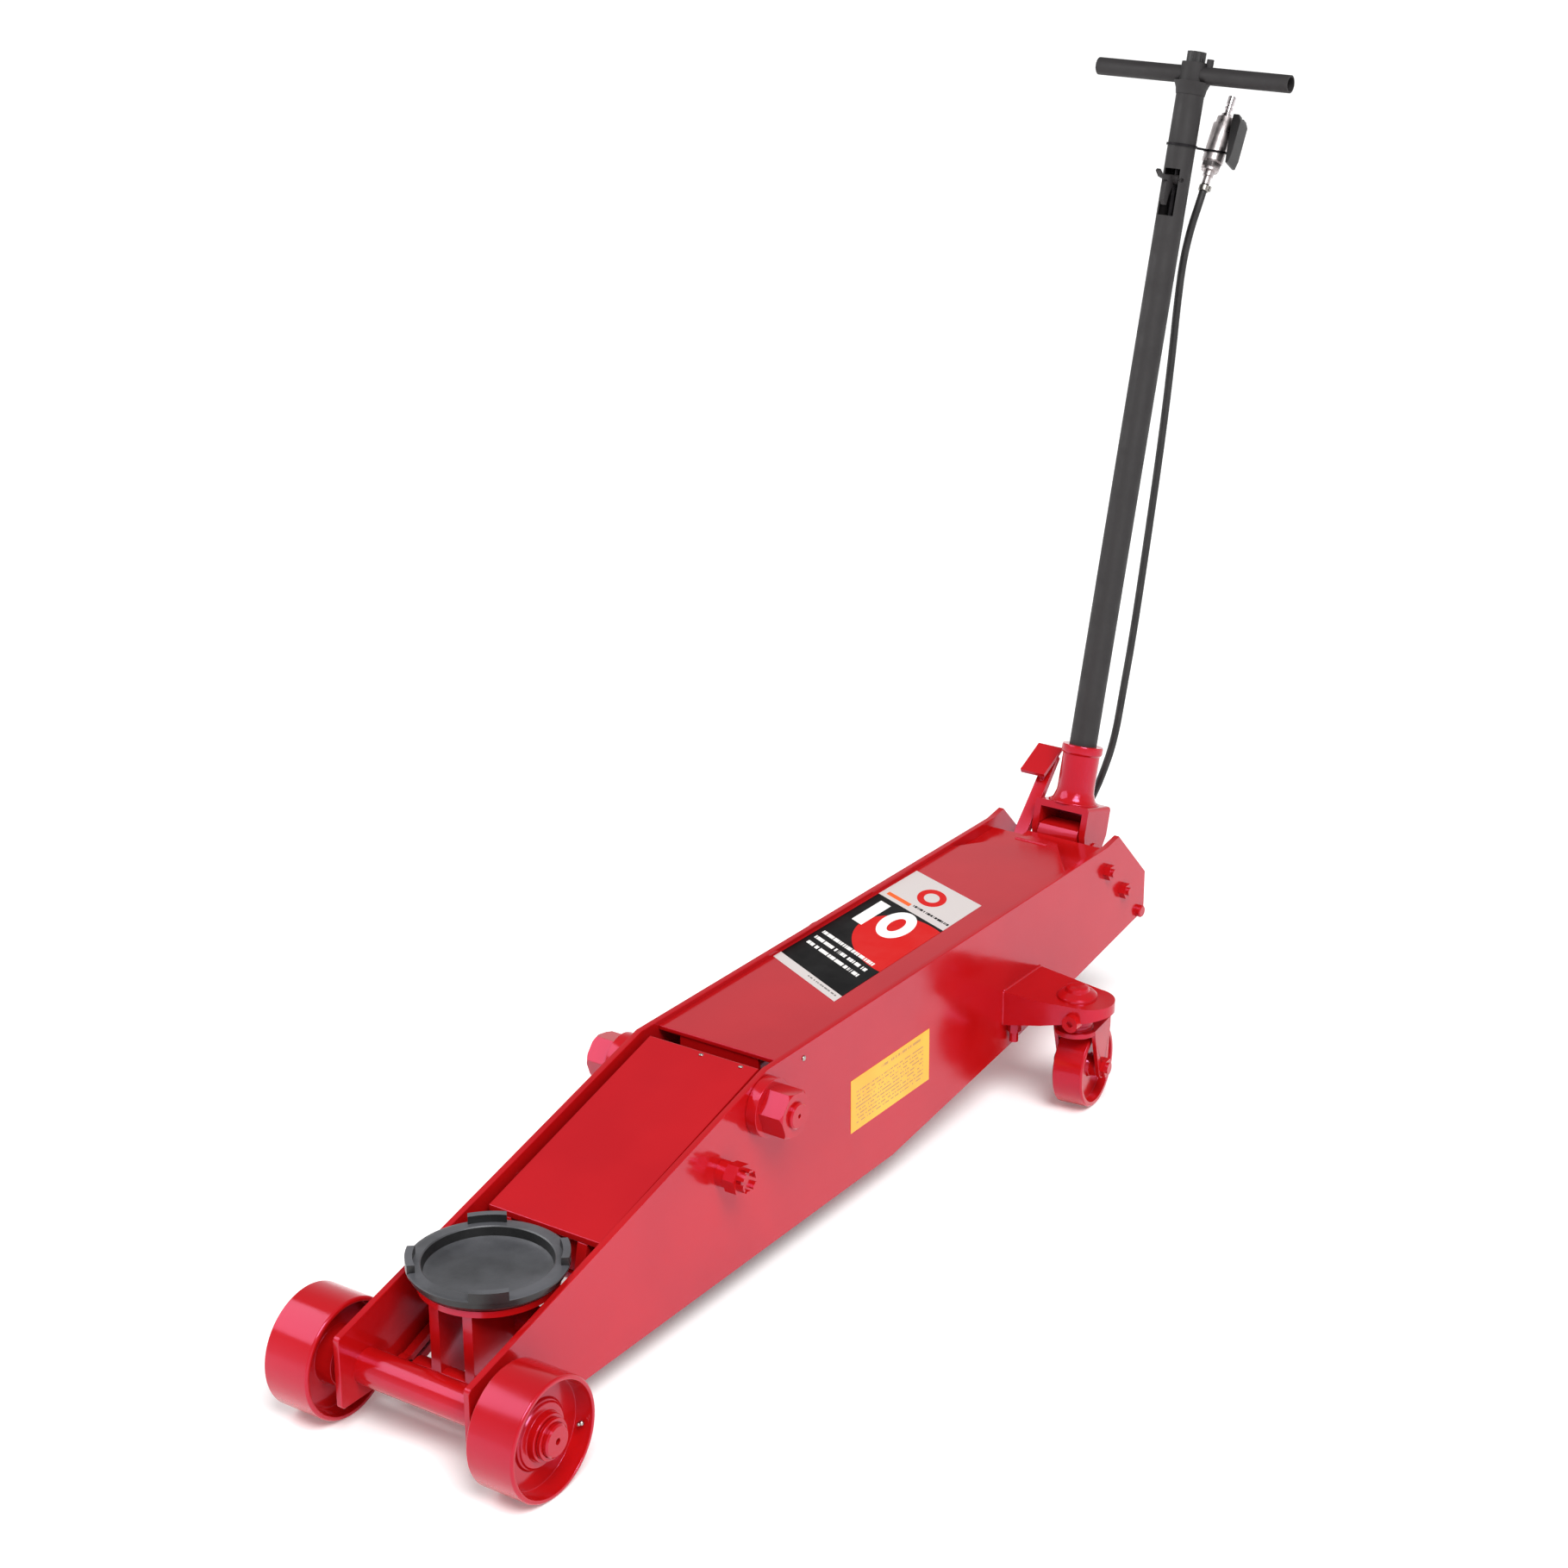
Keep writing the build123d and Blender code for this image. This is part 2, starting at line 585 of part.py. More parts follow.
# ---- casters --------------------------------------------------------------------------------
for side_name, s in SIDES:
    with BuildPart() as caster_fork:
        with BuildSketch(caster_plane(s, CROWN_LOW)):
            Circle(FORK_OUT)
            with Locations((-25, 0)):
                Rectangle(50, 2 * FORK_OUT)
        extrude(amount=CROWN_TOP - CROWN_LOW)
        with BuildSketch(caster_plane(s, CROWN_TOP)):
            Circle(23)
        extrude(amount=COLLAR_LOW - 1 - CROWN_TOP)
        for leg in (FORK_OUT, -FORK_IN):
            with BuildSketch(caster_side(s, leg)):
                with BuildLine():
                    Polyline([(-50, CROWN_TOP), (8, CROWN_TOP), (4, CROWN_LOW - 10),
                              (-14, CASTER_R - 5), (-42, CASTER_R - 5), (-50, CROWN_LOW)], close=True)
                make_face()
                with Locations((-CASTER_TRAIL, CASTER_R)):
                    Circle(15)
                    Circle(CASTER_AXLE_R + SEAT, mode=Mode.SUBTRACT)
            extrude(amount=FORK_OUT - FORK_IN)
        with BuildSketch(caster_plane(s, CROWN_LOW - 1)):
            Circle(KINGPIN_R + FIT)
        extrude(amount=60, mode=Mode.SUBTRACT)
    save(caster_fork, f"caster_fork_{side_name}")

    with BuildPart() as caster_wheel:
        hub_plane = Plane(origin=caster_side(s, 0).from_local_coords((-CASTER_TRAIL, CASTER_R, 0)),
                          x_dir=caster_side(s, 0).x_dir, z_dir=(0, 0, 1))
        with BuildSketch(hub_plane):
            with BuildLine():
                hub = [(17, 14), (15, FORK_IN - 0.5)]
                Polyline(wheel_profile(CASTER_W / 2, CASTER_R, 7, 10, hub, CASTER_AXLE_R + FIT), close=True)
            make_face()
        revolve(axis=Axis(hub_plane.origin, hub_plane.y_dir))
    save(caster_wheel, f"caster_wheel_{side_name}")

    with BuildPart() as caster_axle:
        with BuildSketch(caster_side(s, FORK_OUT + 9)):
            with Locations((-CASTER_TRAIL, CASTER_R)):
                Circle(CASTER_AXLE_R)
        extrude(amount=2 * (FORK_OUT + 9))
        for face in (FORK_OUT + 6.5, -FORK_OUT):
            with BuildSketch(caster_side(s, face)):
                with Locations((-CASTER_TRAIL, CASTER_R)):
                    RegularPolygon(12, 6, major_radius=False)
            extrude(amount=6.5)
    save(caster_axle, f"caster_axle_{side_name}")

# ---- lift arm -------------------------------------------------------------------------------
PIVOT = (at(PIVOT_BACK), PIVOT_Z)
ARM_PIN = (at(ARM_PIN_BACK), ARM_PIN_Z)
CRANK = (PIVOT[0] - CRANK_L * sin(radians(CRANK_ANGLE)), PIVOT[1] - CRANK_L * cos(radians(CRANK_ANGLE)))
PANEL_T = 8.0
PANEL_REAR, PANEL_FRONT = (540.0, 281.0), (216.0, 189.0)
PANEL_SLOPE = (PANEL_REAR[1] - PANEL_FRONT[1]) / (PANEL_REAR[0] - PANEL_FRONT[0])
PANEL_DROP = PANEL_T * sqrt(1 + PANEL_SLOPE ** 2)       # panel thickness measured straight down


def panel_top(back):
    return PANEL_REAR[1] - PANEL_SLOPE * (PANEL_REAR[0] - back)


with BuildPart() as lift_arm:
    for s in (1, -1):
        plane, depth = slab(s, ARM_IN, ARM_OUT)
        with BuildSketch(plane):
            with BuildLine():
                Polyline([(at(540), panel_top(540) - PANEL_DROP), (at(216), panel_top(216) - PANEL_DROP),
                          (at(207), 142), (ARM_PIN[0] + 10, ARM_PIN_Z + 21.8),
                          (ARM_PIN[0] - 8, ARM_PIN_Z - 22.6), (CRANK[0] + 4, CRANK[1] - 21),
                          (CRANK[0] - 20, CRANK[1] - 6), (at(553), PIVOT_Z - 6)], close=True)
            make_face()
            for spot, radius in ((PIVOT, 31), (ARM_PIN, 24), (CRANK, 22)):
                with Locations(spot):
                    Circle(radius)
            with Locations((at(330), 150)):
                Circle(21, mode=Mode.SUBTRACT)
            with Locations((at(435), 160)):
                Circle(30, mode=Mode.SUBTRACT)
        extrude(amount=depth)
    with BuildSketch(upright(75)):
        with Locations(PIVOT):
            Circle(31)
    extrude(amount=150)
    with BuildSketch(upright(ARM_IN)):
        with Locations((at(232), 156)):
            Rectangle(14, 44)
    extrude(amount=2 * ARM_IN)
    with BuildSketch(upright(90)):
        with BuildLine():
            Polyline([(at(560), panel_top(560) - PANEL_DROP), (at(560), 300), (at(200), 300),
                      (at(200), panel_top(200) - PANEL_DROP)], close=True)
        make_face()
    extrude(amount=180, mode=Mode.SUBTRACT)
    with BuildSketch(upright(90)):
        with Locations(PIVOT):
            Circle(PIVOT_R + FIT)
        with Locations(ARM_PIN):
            Circle(ARM_PIN_R + SEAT)
        with Locations(CRANK):
            Circle(CRANK_PIN_R + SEAT)
    extrude(amount=180, mode=Mode.SUBTRACT)
save(lift_arm, "lift_arm")

with BuildPart() as arm_panel:
    with BuildSketch(upright(83)):
        with BuildLine():
            Polyline([(at(540), panel_top(540) - PANEL_DROP), (at(540), panel_top(540)),
                      (at(216), panel_top(216)), (at(216), panel_top(216) - PANEL_DROP)], close=True)
        make_face()
    extrude(amount=166)
    chamfer(edges().filter_by(Axis.Y).sort_by(Axis.Z)[-2:], length=1.2)
save(arm_panel, "arm_panel")

for name, spot, radius, half in (("arm_front_pin", ARM_PIN, ARM_PIN_R, 69),
                                 ("crank_pin", CRANK, CRANK_PIN_R, 68)):
    with BuildPart() as arm_pin:
        with BuildSketch(upright(half)):
            with Locations(spot):
                Circle(radius)
        extrude(amount=2 * half)
        chamfer(edges().filter_by(GeomType.CIRCLE), length=1.5)
    save(arm_pin, name)

# ---- ram and crosshead ----------------------------------------------------------------------
RAM_FRONT, RAM_REAR = 640.0, 1050.0
with BuildPart() as ram:
    with BuildSketch(cross(RAM_REAR, 0)):
        with Locations((0, CYLINDER_Z)):
            Circle(RAM_R)
    extrude(amount=RAM_REAR - RAM_FRONT)
    with BuildSketch(cross(RAM_REAR, 0)):
        with Locations((0, CYLINDER_Z)):
            Circle(CYLINDER_BORE - 0.1)
    extrude(amount=28)
save(ram, "ram")

SLOT_HALF = CRANK_PIN_R + 2.0
SLOT_LOW, SLOT_TOP = 102.0, 149.0
with BuildPart() as crosshead:
    with BuildSketch(upright(44)):
        with BuildLine():
            Polyline([(at(RAM_FRONT), 94), (at(RAM_FRONT), 158), (at(566), 158), (at(554), 148),
                      (at(554), 104), (at(566), 94)], close=True)
        make_face()
        with Locations((CRANK[0], (SLOT_LOW + SLOT_TOP) / 2)):
            SlotOverall(SLOT_TOP - SLOT_LOW, 2 * SLOT_HALF, rotation=90, mode=Mode.SUBTRACT)
    extrude(amount=88)
    with BuildSketch(upright(80)):
        with Locations((at(627), CYLINDER_Z)):
            Circle(6)
    extrude(amount=160)
save(crosshead, "crosshead")

SPRING_Y, SPRING_R = 72.0, 8.5
with BuildPart() as return_springs:
    for s in (1, -1):
        with BuildSketch(cross(CYLINDER_REAR, s * SPRING_Y)):
            with Locations((0, CYLINDER_Z)):
                Circle(SPRING_R)
                Circle(SPRING_R - 2.5, mode=Mode.SUBTRACT)
        extrude(amount=CYLINDER_REAR - 634)
save(return_springs, "return_springs")

# ---- saddle carrier, its lower pin and the radius rods --------------------------------------
LINK_OFFSET = (PIVOT_BACK - LINK_BACK, LINK_Z - PIVOT_Z)
ROD_PIN = (ARM_PIN[0] + LINK_OFFSET[0], ARM_PIN_Z + LINK_OFFSET[1])
ROD_PIN_R = 9.0
FLANGE_LOW, FLANGE_TOP = 162.0, 170.0
CHEEK_IN, CHEEK_OUT = 18.0, 32.0
with BuildPart() as saddle_carrier:
    for s in (1, -1):
        plane, depth = slab(s, CHEEK_IN, CHEEK_OUT)
        with BuildSketch(plane):
            with BuildLine():
                Polyline([(at(44), FLANGE_LOW), (at(44), ROD_PIN[1]), (ROD_PIN[0] - 2, ROD_PIN[1] - 15.5),
                          (ARM_PIN[0] - 6, ARM_PIN_Z - 21), (ARM_PIN[0] - 21, ARM_PIN_Z + 6),
                          (at(184), FLANGE_LOW)], close=True)
            make_face()
            with Locations(ROD_PIN):
                Circle(15.5)
            with Locations(ARM_PIN):
                Circle(22)
        extrude(amount=depth)
    with BuildSketch(Plane.XY.offset(FLANGE_LOW)):
        with Locations((at(SADDLE_BACK), 0)):
            Circle(84)
    extrude(amount=FLANGE_TOP - FLANGE_LOW)
    with BuildSketch(Plane.XY.offset(120)):
        with Locations((at(SADDLE_BACK), 0)):
            Circle(27)
    extrude(amount=FLANGE_LOW - 120)
    with BuildSketch(upright(48)):
        with Locations(ARM_PIN):
            Circle(22)
    extrude(amount=96)
    with BuildSketch(upright(62)):
        with Locations(ROD_PIN):
            Circle(20)
    extrude(amount=124)
    with BuildSketch(upright(90)):
        with Locations(ARM_PIN):
            Circle(ARM_PIN_R + FIT)
        with Locations(ROD_PIN):
            Circle(ROD_PIN_R + SEAT)
    extrude(amount=180, mode=Mode.SUBTRACT)
    with BuildSketch(Plane.XY.offset(FLANGE_TOP)):
        with Locations((at(SADDLE_BACK), 0)):
            Circle(POST_R + FIT)
    extrude(amount=-42, mode=Mode.SUBTRACT)
save(saddle_carrier, "saddle_carrier")

with BuildPart() as carrier_pin:
    with BuildSketch(upright(91)):
        with Locations(ROD_PIN):
            Circle(ROD_PIN_R)
    extrude(amount=182)
    chamfer(edges().filter_by(GeomType.CIRCLE), length=1.5)
save(carrier_pin, "carrier_pin")

ROD_SLOPE = (LINK_Z - ROD_PIN[1]) / (ROD_PIN[0] - at(LINK_BACK))
for side_name, s in SIDES:
    plane, depth = slab(s, ROD_IN, ROD_OUT)
    with BuildPart() as radius_rod:
        with BuildSketch(plane):
            with Locations((at(LINK_BACK), LINK_Z)):
                Circle(20)
            with Locations(ROD_PIN):
                Circle(15.5)
            with BuildLine():
                Polyline([(at(LINK_BACK), LINK_Z + 15), (ROD_PIN[0], ROD_PIN[1] + 13),
                          (ROD_PIN[0], ROD_PIN[1] - 13), (at(LINK_BACK), LINK_Z - 15)], close=True)
            make_face()
            with Locations((at(LINK_BACK), LINK_Z)):
                Circle(LINK_R + FIT, mode=Mode.SUBTRACT)
            with Locations(ROD_PIN):
                Circle(ROD_PIN_R + 0.6, mode=Mode.SUBTRACT)
        extrude(amount=depth)
    save(radius_rod, f"radius_rod_{side_name}")

# ---- saddle ---------------------------------------------------------------------------------
TOOTH_RISE = 10.0
with BuildPart() as saddle:
    with BuildSketch(Plane(origin=(at(SADDLE_BACK), 0, 0), x_dir=(1, 0, 0), z_dir=(0, -1, 0))):
        with BuildLine():
            Polyline([(0, 128.5), (POST_R, 128.5), (POST_R, FLANGE_TOP + 0.5), (81, FLANGE_TOP + 0.5),
                      (86, 172), (91.2, 178), (91.2, SADDLE_LIP_Z - 6), (SADDLE_R, SADDLE_LIP_Z - 3.5),
                      (SADDLE_R, SADDLE_LIP_Z - 1.5), (SADDLE_R - 2.5, SADDLE_LIP_Z - 0.3),
                      (79, SADDLE_LIP_Z), (77.5, SADDLE_LIP_Z - 1.2), (75.5, 178), (70, 175.6),
                      (55, SADDLE_FLOOR_Z), (0, SADDLE_FLOOR_Z)], close=True)
        make_face()
    revolve(axis=Axis((at(SADDLE_BACK), 0, 0), (0, 0, 1)))
    with BuildSketch(Plane(origin=(at(SADDLE_BACK), 0, SADDLE_LIP_Z - 3), z_dir=(0, 0, 1))):
        Circle(SADDLE_R)
        Circle(SADDLE_R - 9, mode=Mode.SUBTRACT)
        with BuildSketch(mode=Mode.INTERSECT):
            for k in range(2):
                Rectangle(2 * SADDLE_R, 46, rotation=SADDLE_TURN + 90 * k)
    extrude(amount=TOOTH_RISE + 3)
save(saddle, "saddle")

# ---- handle: yoke and socket ----------------------------------------------------------------
SOCKET_TOP = 151.0
YOKE_TOP = 66.0
ROLLER_ARM, ROLLER_ANGLE = 30.0, radians(20)
roller_x = -ROLLER_ARM * cos(ROLLER_ANGLE)
roller_z = ROLLER_ARM * sin(ROLLER_ANGLE)
ROLLER = (roller_x * LEAN_COS + roller_z * LEAN_SIN, -roller_x * LEAN_SIN + roller_z * LEAN_COS)
with BuildPart() as handle_yoke:
    with BuildSketch(handle_side(44)):
        with Locations((0, YOKE_TOP - 5)):
            Rectangle(68, 10)
    extrude(amount=88)
    fillet(edges().filter_by(lambda e: e.length > 60 and abs(e.center().Y) > 40).sort_by(Axis.Z)[-2:], 5)
    for cheek in (44, -34):
        with BuildSketch(handle_side(cheek)):
            with BuildLine():
                Polyline([(-34, YOKE_TOP - 6), (34, YOKE_TOP - 6), (34, 24), (24, 0), (-24, 0), (-34, 24)],
                         close=True)
            make_face()
            Circle(26)
        extrude(amount=10)
    with BuildSketch(handle_side(36)):
        with Locations(ROLLER):
            Circle(8)
        with Locations((-32, YOKE_TOP - 21)):
            Rectangle(4, 38)
    extrude(amount=72)
    with BuildSketch(handle_side(0)):
        with BuildLine():
            Polyline([(0, YOKE_TOP), (36, YOKE_TOP), (31, 72), (27.5, 82), (27, 92), (27, SOCKET_TOP - 14),
                      (29, SOCKET_TOP - 12), (30, SOCKET_TOP - 10), (30, SOCKET_TOP - 2),
                      (29, SOCKET_TOP), (0, SOCKET_TOP)], close=True)
        make_face()
    revolve(axis=Axis(HANDLE.origin, HANDLE.z_dir))
    with BuildSketch(HANDLE.offset(YOKE_TOP + 4)):
        Circle(TUBE_R + SEAT)
    extrude(amount=SOCKET_TOP, mode=Mode.SUBTRACT)
    with BuildSketch(handle_side(60)):
        Circle(YOKE_PIN_R + FIT)
    extrude(amount=120, mode=Mode.SUBTRACT)
save(handle_yoke, "handle_yoke")

with BuildPart() as handle_pin:
    with BuildSketch(upright(46.8)):
        with Locations((at(YOKE_BACK), YOKE_Z)):
            Circle(YOKE_PIN_R)
    extrude(amount=93.6)
    for s in (1, -1):
        plane, depth = slab(s, 44.3, 46.8)
        with BuildSketch(plane):
            with Locations((at(YOKE_BACK), YOKE_Z)):
                Circle(14)
        extrude(amount=depth)
save(handle_pin, "handle_pin")

PLUNGER_TOP = YOKE_Z + 1.1
with BuildPart() as pump_plunger:
    with BuildSketch(Plane.XY.offset(193)):
        with Locations((at(PLUNGER_BACK), 0)):
            Circle(PLUNGER_R)
    extrude(amount=PLUNGER_TOP - 193)
    chamfer(edges().filter_by(GeomType.CIRCLE).group_by(Axis.Z)[0], length=1)
save(pump_plunger, "pump_plunger")

# ---- handle tube, T bar, release knob and rod, lock lever -----------------------------------
SLOT_W = (917.0, 983.0)
LEVER_PIN = (13.0, 968.0)
LEVER_PIN_R = 3.0
TUBE_TOP = GRIP_W - GRIP_R - 6
with BuildPart() as handle_tube:
    with BuildSketch(HANDLE.offset(YOKE_TOP + 4.5)):
        Circle(TUBE_R)
        Circle(TUBE_BORE, mode=Mode.SUBTRACT)
    extrude(amount=TUBE_TOP - YOKE_TOP - 4.5)
    with BuildSketch(HANDLE.offset(SLOT_W[0])):
        with Locations((TUBE_R, 0)):
            Rectangle(2 * TUBE_R, 24)
    extrude(amount=SLOT_W[1] - SLOT_W[0], mode=Mode.SUBTRACT)
    with BuildSketch(handle_side(TUBE_R + 1)):
        with Locations(LEVER_PIN):
            Circle(LEVER_PIN_R + FIT)
    extrude(amount=2 * TUBE_R + 2, mode=Mode.SUBTRACT)
save(handle_tube, "handle_tube")

CAP_TOP = GRIP_W + 17.0
GRIP_HOLLOW = 105.0         # depth of the open bore in each end of the T bar
with BuildPart() as t_grip:
    grip_plane = Plane(origin=handle_side(GRIP_HALF).from_local_coords((0, GRIP_W, 0)),
                       x_dir=HANDLE.x_dir, z_dir=(0, -1, 0))
    with BuildSketch(grip_plane):
        Circle(GRIP_R)
    extrude(amount=2 * GRIP_HALF)
    with BuildSketch(HANDLE.offset(TUBE_TOP)):
        Circle(TUBE_R - 1)
    extrude(amount=CAP_TOP - TUBE_TOP)
    with BuildSketch(handle_side(0)):
        with BuildLine():
            Polyline([(0, TUBE_TOP), (TUBE_R + SEAT, TUBE_TOP), (TUBE_R + SEAT, GRIP_W - 28),
                      (TUBE_R + 0.8, GRIP_W - 28), (TUBE_R + 2, GRIP_W - 20), (TUBE_R + 6, GRIP_W - 10),
                      (0, GRIP_W - 10)], close=True)
        make_face()
    revolve(axis=Axis(HANDLE.origin, HANDLE.z_dir))
    with BuildSketch(HANDLE.offset(GRIP_W)):
        with Locations((0, 23)):
            Circle(5)
    extrude(amount=23)
    for start in (0, 2 * GRIP_HALF - GRIP_HOLLOW):
        with BuildSketch(grip_plane.offset(start)):
            Circle(GRIP_R - 2.5)
        extrude(amount=GRIP_HOLLOW, mode=Mode.SUBTRACT)
    with BuildSketch(HANDLE.offset(TUBE_TOP)):
        Circle(ROD_R + FIT)
    extrude(amount=CAP_TOP, mode=Mode.SUBTRACT)
save(t_grip, "t_grip")

KNOB_TOP = 1148.0
KNOB_SOCKET = 8.0           # depth of the rod's seat in the knob
with BuildPart() as release_knob:
    with BuildSketch(HANDLE.offset(CAP_TOP + 0.5)):
        Circle(13.5)
        with PolarLocations(14.2, 12):
            Circle(1.8, mode=Mode.SUBTRACT)
    extrude(amount=KNOB_TOP - CAP_TOP - 0.5)
    with BuildSketch(HANDLE.offset(CAP_TOP)):
        Circle(ROD_R + SEAT)
    extrude(amount=KNOB_SOCKET + 0.1, mode=Mode.SUBTRACT)
save(release_knob, "release_knob")

with BuildPart() as release_rod:
    with BuildSketch(HANDLE.offset(YOKE_TOP + 12)):
        Circle(ROD_R)
    extrude(amount=CAP_TOP + KNOB_SOCKET - YOKE_TOP - 12)
save(release_rod, "release_rod")

with BuildPart() as lock_lever:
    with BuildSketch(handle_side(3)):
        with BuildLine():
            Polyline([(17, 974), (30, 968), (34, 960), (35, 938), (29, 931), (24, 931), (21, 945),
                      (12, 962)], close=True)
        make_face()
        with BuildLine():
            Polyline([(14, 974), (34, 971.5), (48, 972), (58, 978), (61.5, 975), (51, 967.5), (36, 965.5),
                      (20, 963)], close=True)
        make_face()
        with Locations(LEVER_PIN):
            Circle(6.5)
    extrude(amount=6)
    with BuildSketch(handle_side(11)):
        with Locations(LEVER_PIN):
            Circle(6.5)
    extrude(amount=22)
    with BuildSketch(handle_side(14.5)):
        with Locations(LEVER_PIN):
            Circle(LEVER_PIN_R)
    extrude(amount=29)
save(lock_lever, "lock_lever")

# ---- foot pedal -----------------------------------------------------------------------------
PEDAL_IN, PEDAL_OUT, PAD_OUT = 48.0, 68.0, 88.0
PEDAL_PIN_R = 7.0
PAD_REAR, PAD_FRONT = (at(1508), 368), (at(1455), 343)
PEDAL_PIN = (at(PEDAL_BACK), PEDAL_Z)
with BuildPart() as foot_pedal:
    with BuildSketch(upright(-PEDAL_IN)):
        with Locations(PEDAL_PIN):
            Circle(13)
        with BuildLine():
            Polyline([(at(1389), 242), (at(1410), 270), (at(1449), 309), (at(1497), 359),
                      (at(1503), 353), (at(1458), 303), (at(1420), 263), (at(1411), 234)], close=True)
        make_face()
        with Locations(PEDAL_PIN):
            Circle(PEDAL_PIN_R + FIT, mode=Mode.SUBTRACT)
    extrude(amount=PEDAL_OUT - PEDAL_IN)
    with BuildSketch(upright(-PEDAL_IN)):
        with BuildLine():
            Polyline([PAD_REAR, PAD_FRONT, (PAD_FRONT[0] - 2.6, PAD_FRONT[1] - 5.4),
                      (PAD_REAR[0] - 2.6, PAD_REAR[1] - 5.4)], close=True)
        make_face()
    extrude(amount=PAD_OUT - PEDAL_IN)
    with BuildSketch(upright(-PEDAL_IN - 8)):
        with BuildLine():
            Polyline([(at(1500), 360), (at(1462), 342), (at(1470), 322)], close=True)
        make_face()
    extrude(amount=5)
save(foot_pedal, "foot_pedal")

with BuildPart() as pedal_pin:
    with BuildSketch(upright(-46)):
        with Locations(PEDAL_PIN):
            Circle(PEDAL_PIN_R)
    extrude(amount=PLATE_IN - 46)
    for near, far in ((46, 47.6), (68.5, 76)):
        with BuildSketch(upright(-near)):
            with Locations(PEDAL_PIN):
                Circle(11)
        extrude(amount=far - near)
save(pedal_pin, "pedal_pin")


# ---- air valve on the handle ----------------------------------------------------------------
def valve_face(forward):
    """Plane along the valve facing forward: local x is Y and local y runs up the valve."""
    facing = (cos(radians(VALVE_LEAN)), 0, sin(radians(VALVE_LEAN)))
    origin = VALVE.origin + Vector(*facing) * forward
    return Plane(origin=origin, x_dir=(0, 1, 0), z_dir=facing)


BODY_LOW, BODY_TOP = 20.0, 101.0
LEVER_PIVOT = (20.5, 97.0)
LEVER_PIVOT_R = 2.5
LEVER_HALF = 14.0           # half the width of the lever
with BuildPart() as air_valve_body:
    for low, high, radius in ((0, 12, 5.5), (12, BODY_LOW, 7.5), (BODY_LOW, 34, 12), (34, 90, VALVE_R),
                              (90, BODY_TOP, 12)):
        with BuildSketch(VALVE.offset(low)):
            Circle(radius)
        extrude(amount=high - low)
    with BuildSketch(VALVE.offset(24)):
        RegularPolygon(12.8, 6, major_radius=False)
    extrude(amount=8)
    with BuildSketch(valve_face(-3)):
        with Locations((16, LEVER_PIVOT[1])):
            Rectangle(15, 10)
        with Locations(LEVER_PIVOT):
            Circle(LEVER_PIVOT_R + FIT, mode=Mode.SUBTRACT)
    extrude(amount=6)
save(air_valve_body, "air_valve_body")

with BuildPart() as air_nipple:
    for low, high, radius in ((BODY_TOP, 107, 7.5), (107, 115, 4.5), (115, 117.5, 6), (117.5, 122, 4.2),
                              (122, 134, 5.5)):
        with BuildSketch(VALVE.offset(low)):
            Circle(radius)
        extrude(amount=high - low)
    with BuildSketch(VALVE.offset(BODY_TOP + 8)):
        Circle(2.6)
    extrude(amount=30, mode=Mode.SUBTRACT)
save(air_nipple, "air_nipple")

with BuildPart() as air_valve_lever:
    with BuildSketch(valve_face(-LEVER_HALF)):
        with BuildLine():
            Polyline([(17, 104), (26, 104), (31, 95), (33, 44), (31, 31), (27, 31), (25, 42),
                      (17.6, 90)], close=True)
        make_face()
    extrude(amount=2 * LEVER_HALF)
    with BuildSketch(valve_face(-3.5)):
        with Locations(LEVER_PIVOT):
            Rectangle(14, 20)
    extrude(amount=7, mode=Mode.SUBTRACT)
    with BuildSketch(valve_face(-LEVER_HALF)):
        with Locations(LEVER_PIVOT):
            Circle(LEVER_PIVOT_R)
    extrude(amount=2 * LEVER_HALF)
save(air_valve_lever, "air_valve_lever")

CLIP_VALVE = 50.0           # height of the wire tie on the valve body
TIE_T = 3.0
clip_point = HANDLE.to_local_coords(Vector(*VALVE.from_local_coords((0, 0, CLIP_VALVE))))
clip_reach = sqrt(clip_point.X ** 2 + clip_point.Y ** 2)
clip_plane = Plane(origin=HANDLE.from_local_coords((0, 0, clip_point.Z - TIE_T / 2)),
                   x_dir=HANDLE.x_dir * clip_point.X + HANDLE.y_dir * clip_point.Y,
                   z_dir=HANDLE.z_dir)
with BuildPart() as valve_clip:
    with BuildSketch(clip_plane):
        Circle(TUBE_R + 2)
        with Locations((clip_reach / 2, 0)):
            Rectangle(clip_reach, 4)
        with Locations((clip_reach, 0)):
            Circle(VALVE_R + 2)
    extrude(amount=TIE_T)
    with BuildSketch(clip_plane.offset(-1)):
        Circle(TUBE_R + SEAT)
    extrude(amount=TIE_T + 2, mode=Mode.SUBTRACT)
    with BuildSketch(VALVE.offset(CLIP_VALVE - 15)):
        Circle(VALVE_R + SEAT)
    extrude(amount=30, mode=Mode.SUBTRACT)
save(valve_clip, "valve_clip")

# ---- air hose with its clamp ----------------------------------------------------------------
HOSE_ROUTE = [
    (1477, -62, 170), (1502, -62, 170), (1529.7, -61, 181.5), (1550.9, -56, 202.7), (1562.4, -46, 231),
    (1565, -31, 266), (1563, -12, 309), (1580, -1, 366), (1595, 3, 443), (1615, 5, 521), (1648, 6, 665),
    (1677, 8, 812), (1693, 10, 925), (1701, 11, 1000), (1709, 13, 1062), (1716, 20, 1110),
]
HOSE_LEAD = 28.0            # straight length below the valve, in line with it
hose_lead_end = Vector(at(VALVE_BACK), VALVE_Y, VALVE_Z) - Vector(*VALVE_DIR) * HOSE_LEAD
hose_points = [Vector(at(back), y, z) for back, y, z in HOSE_ROUTE]
hose_points += [hose_lead_end, Vector(at(VALVE_BACK), VALVE_Y, VALVE_Z)]


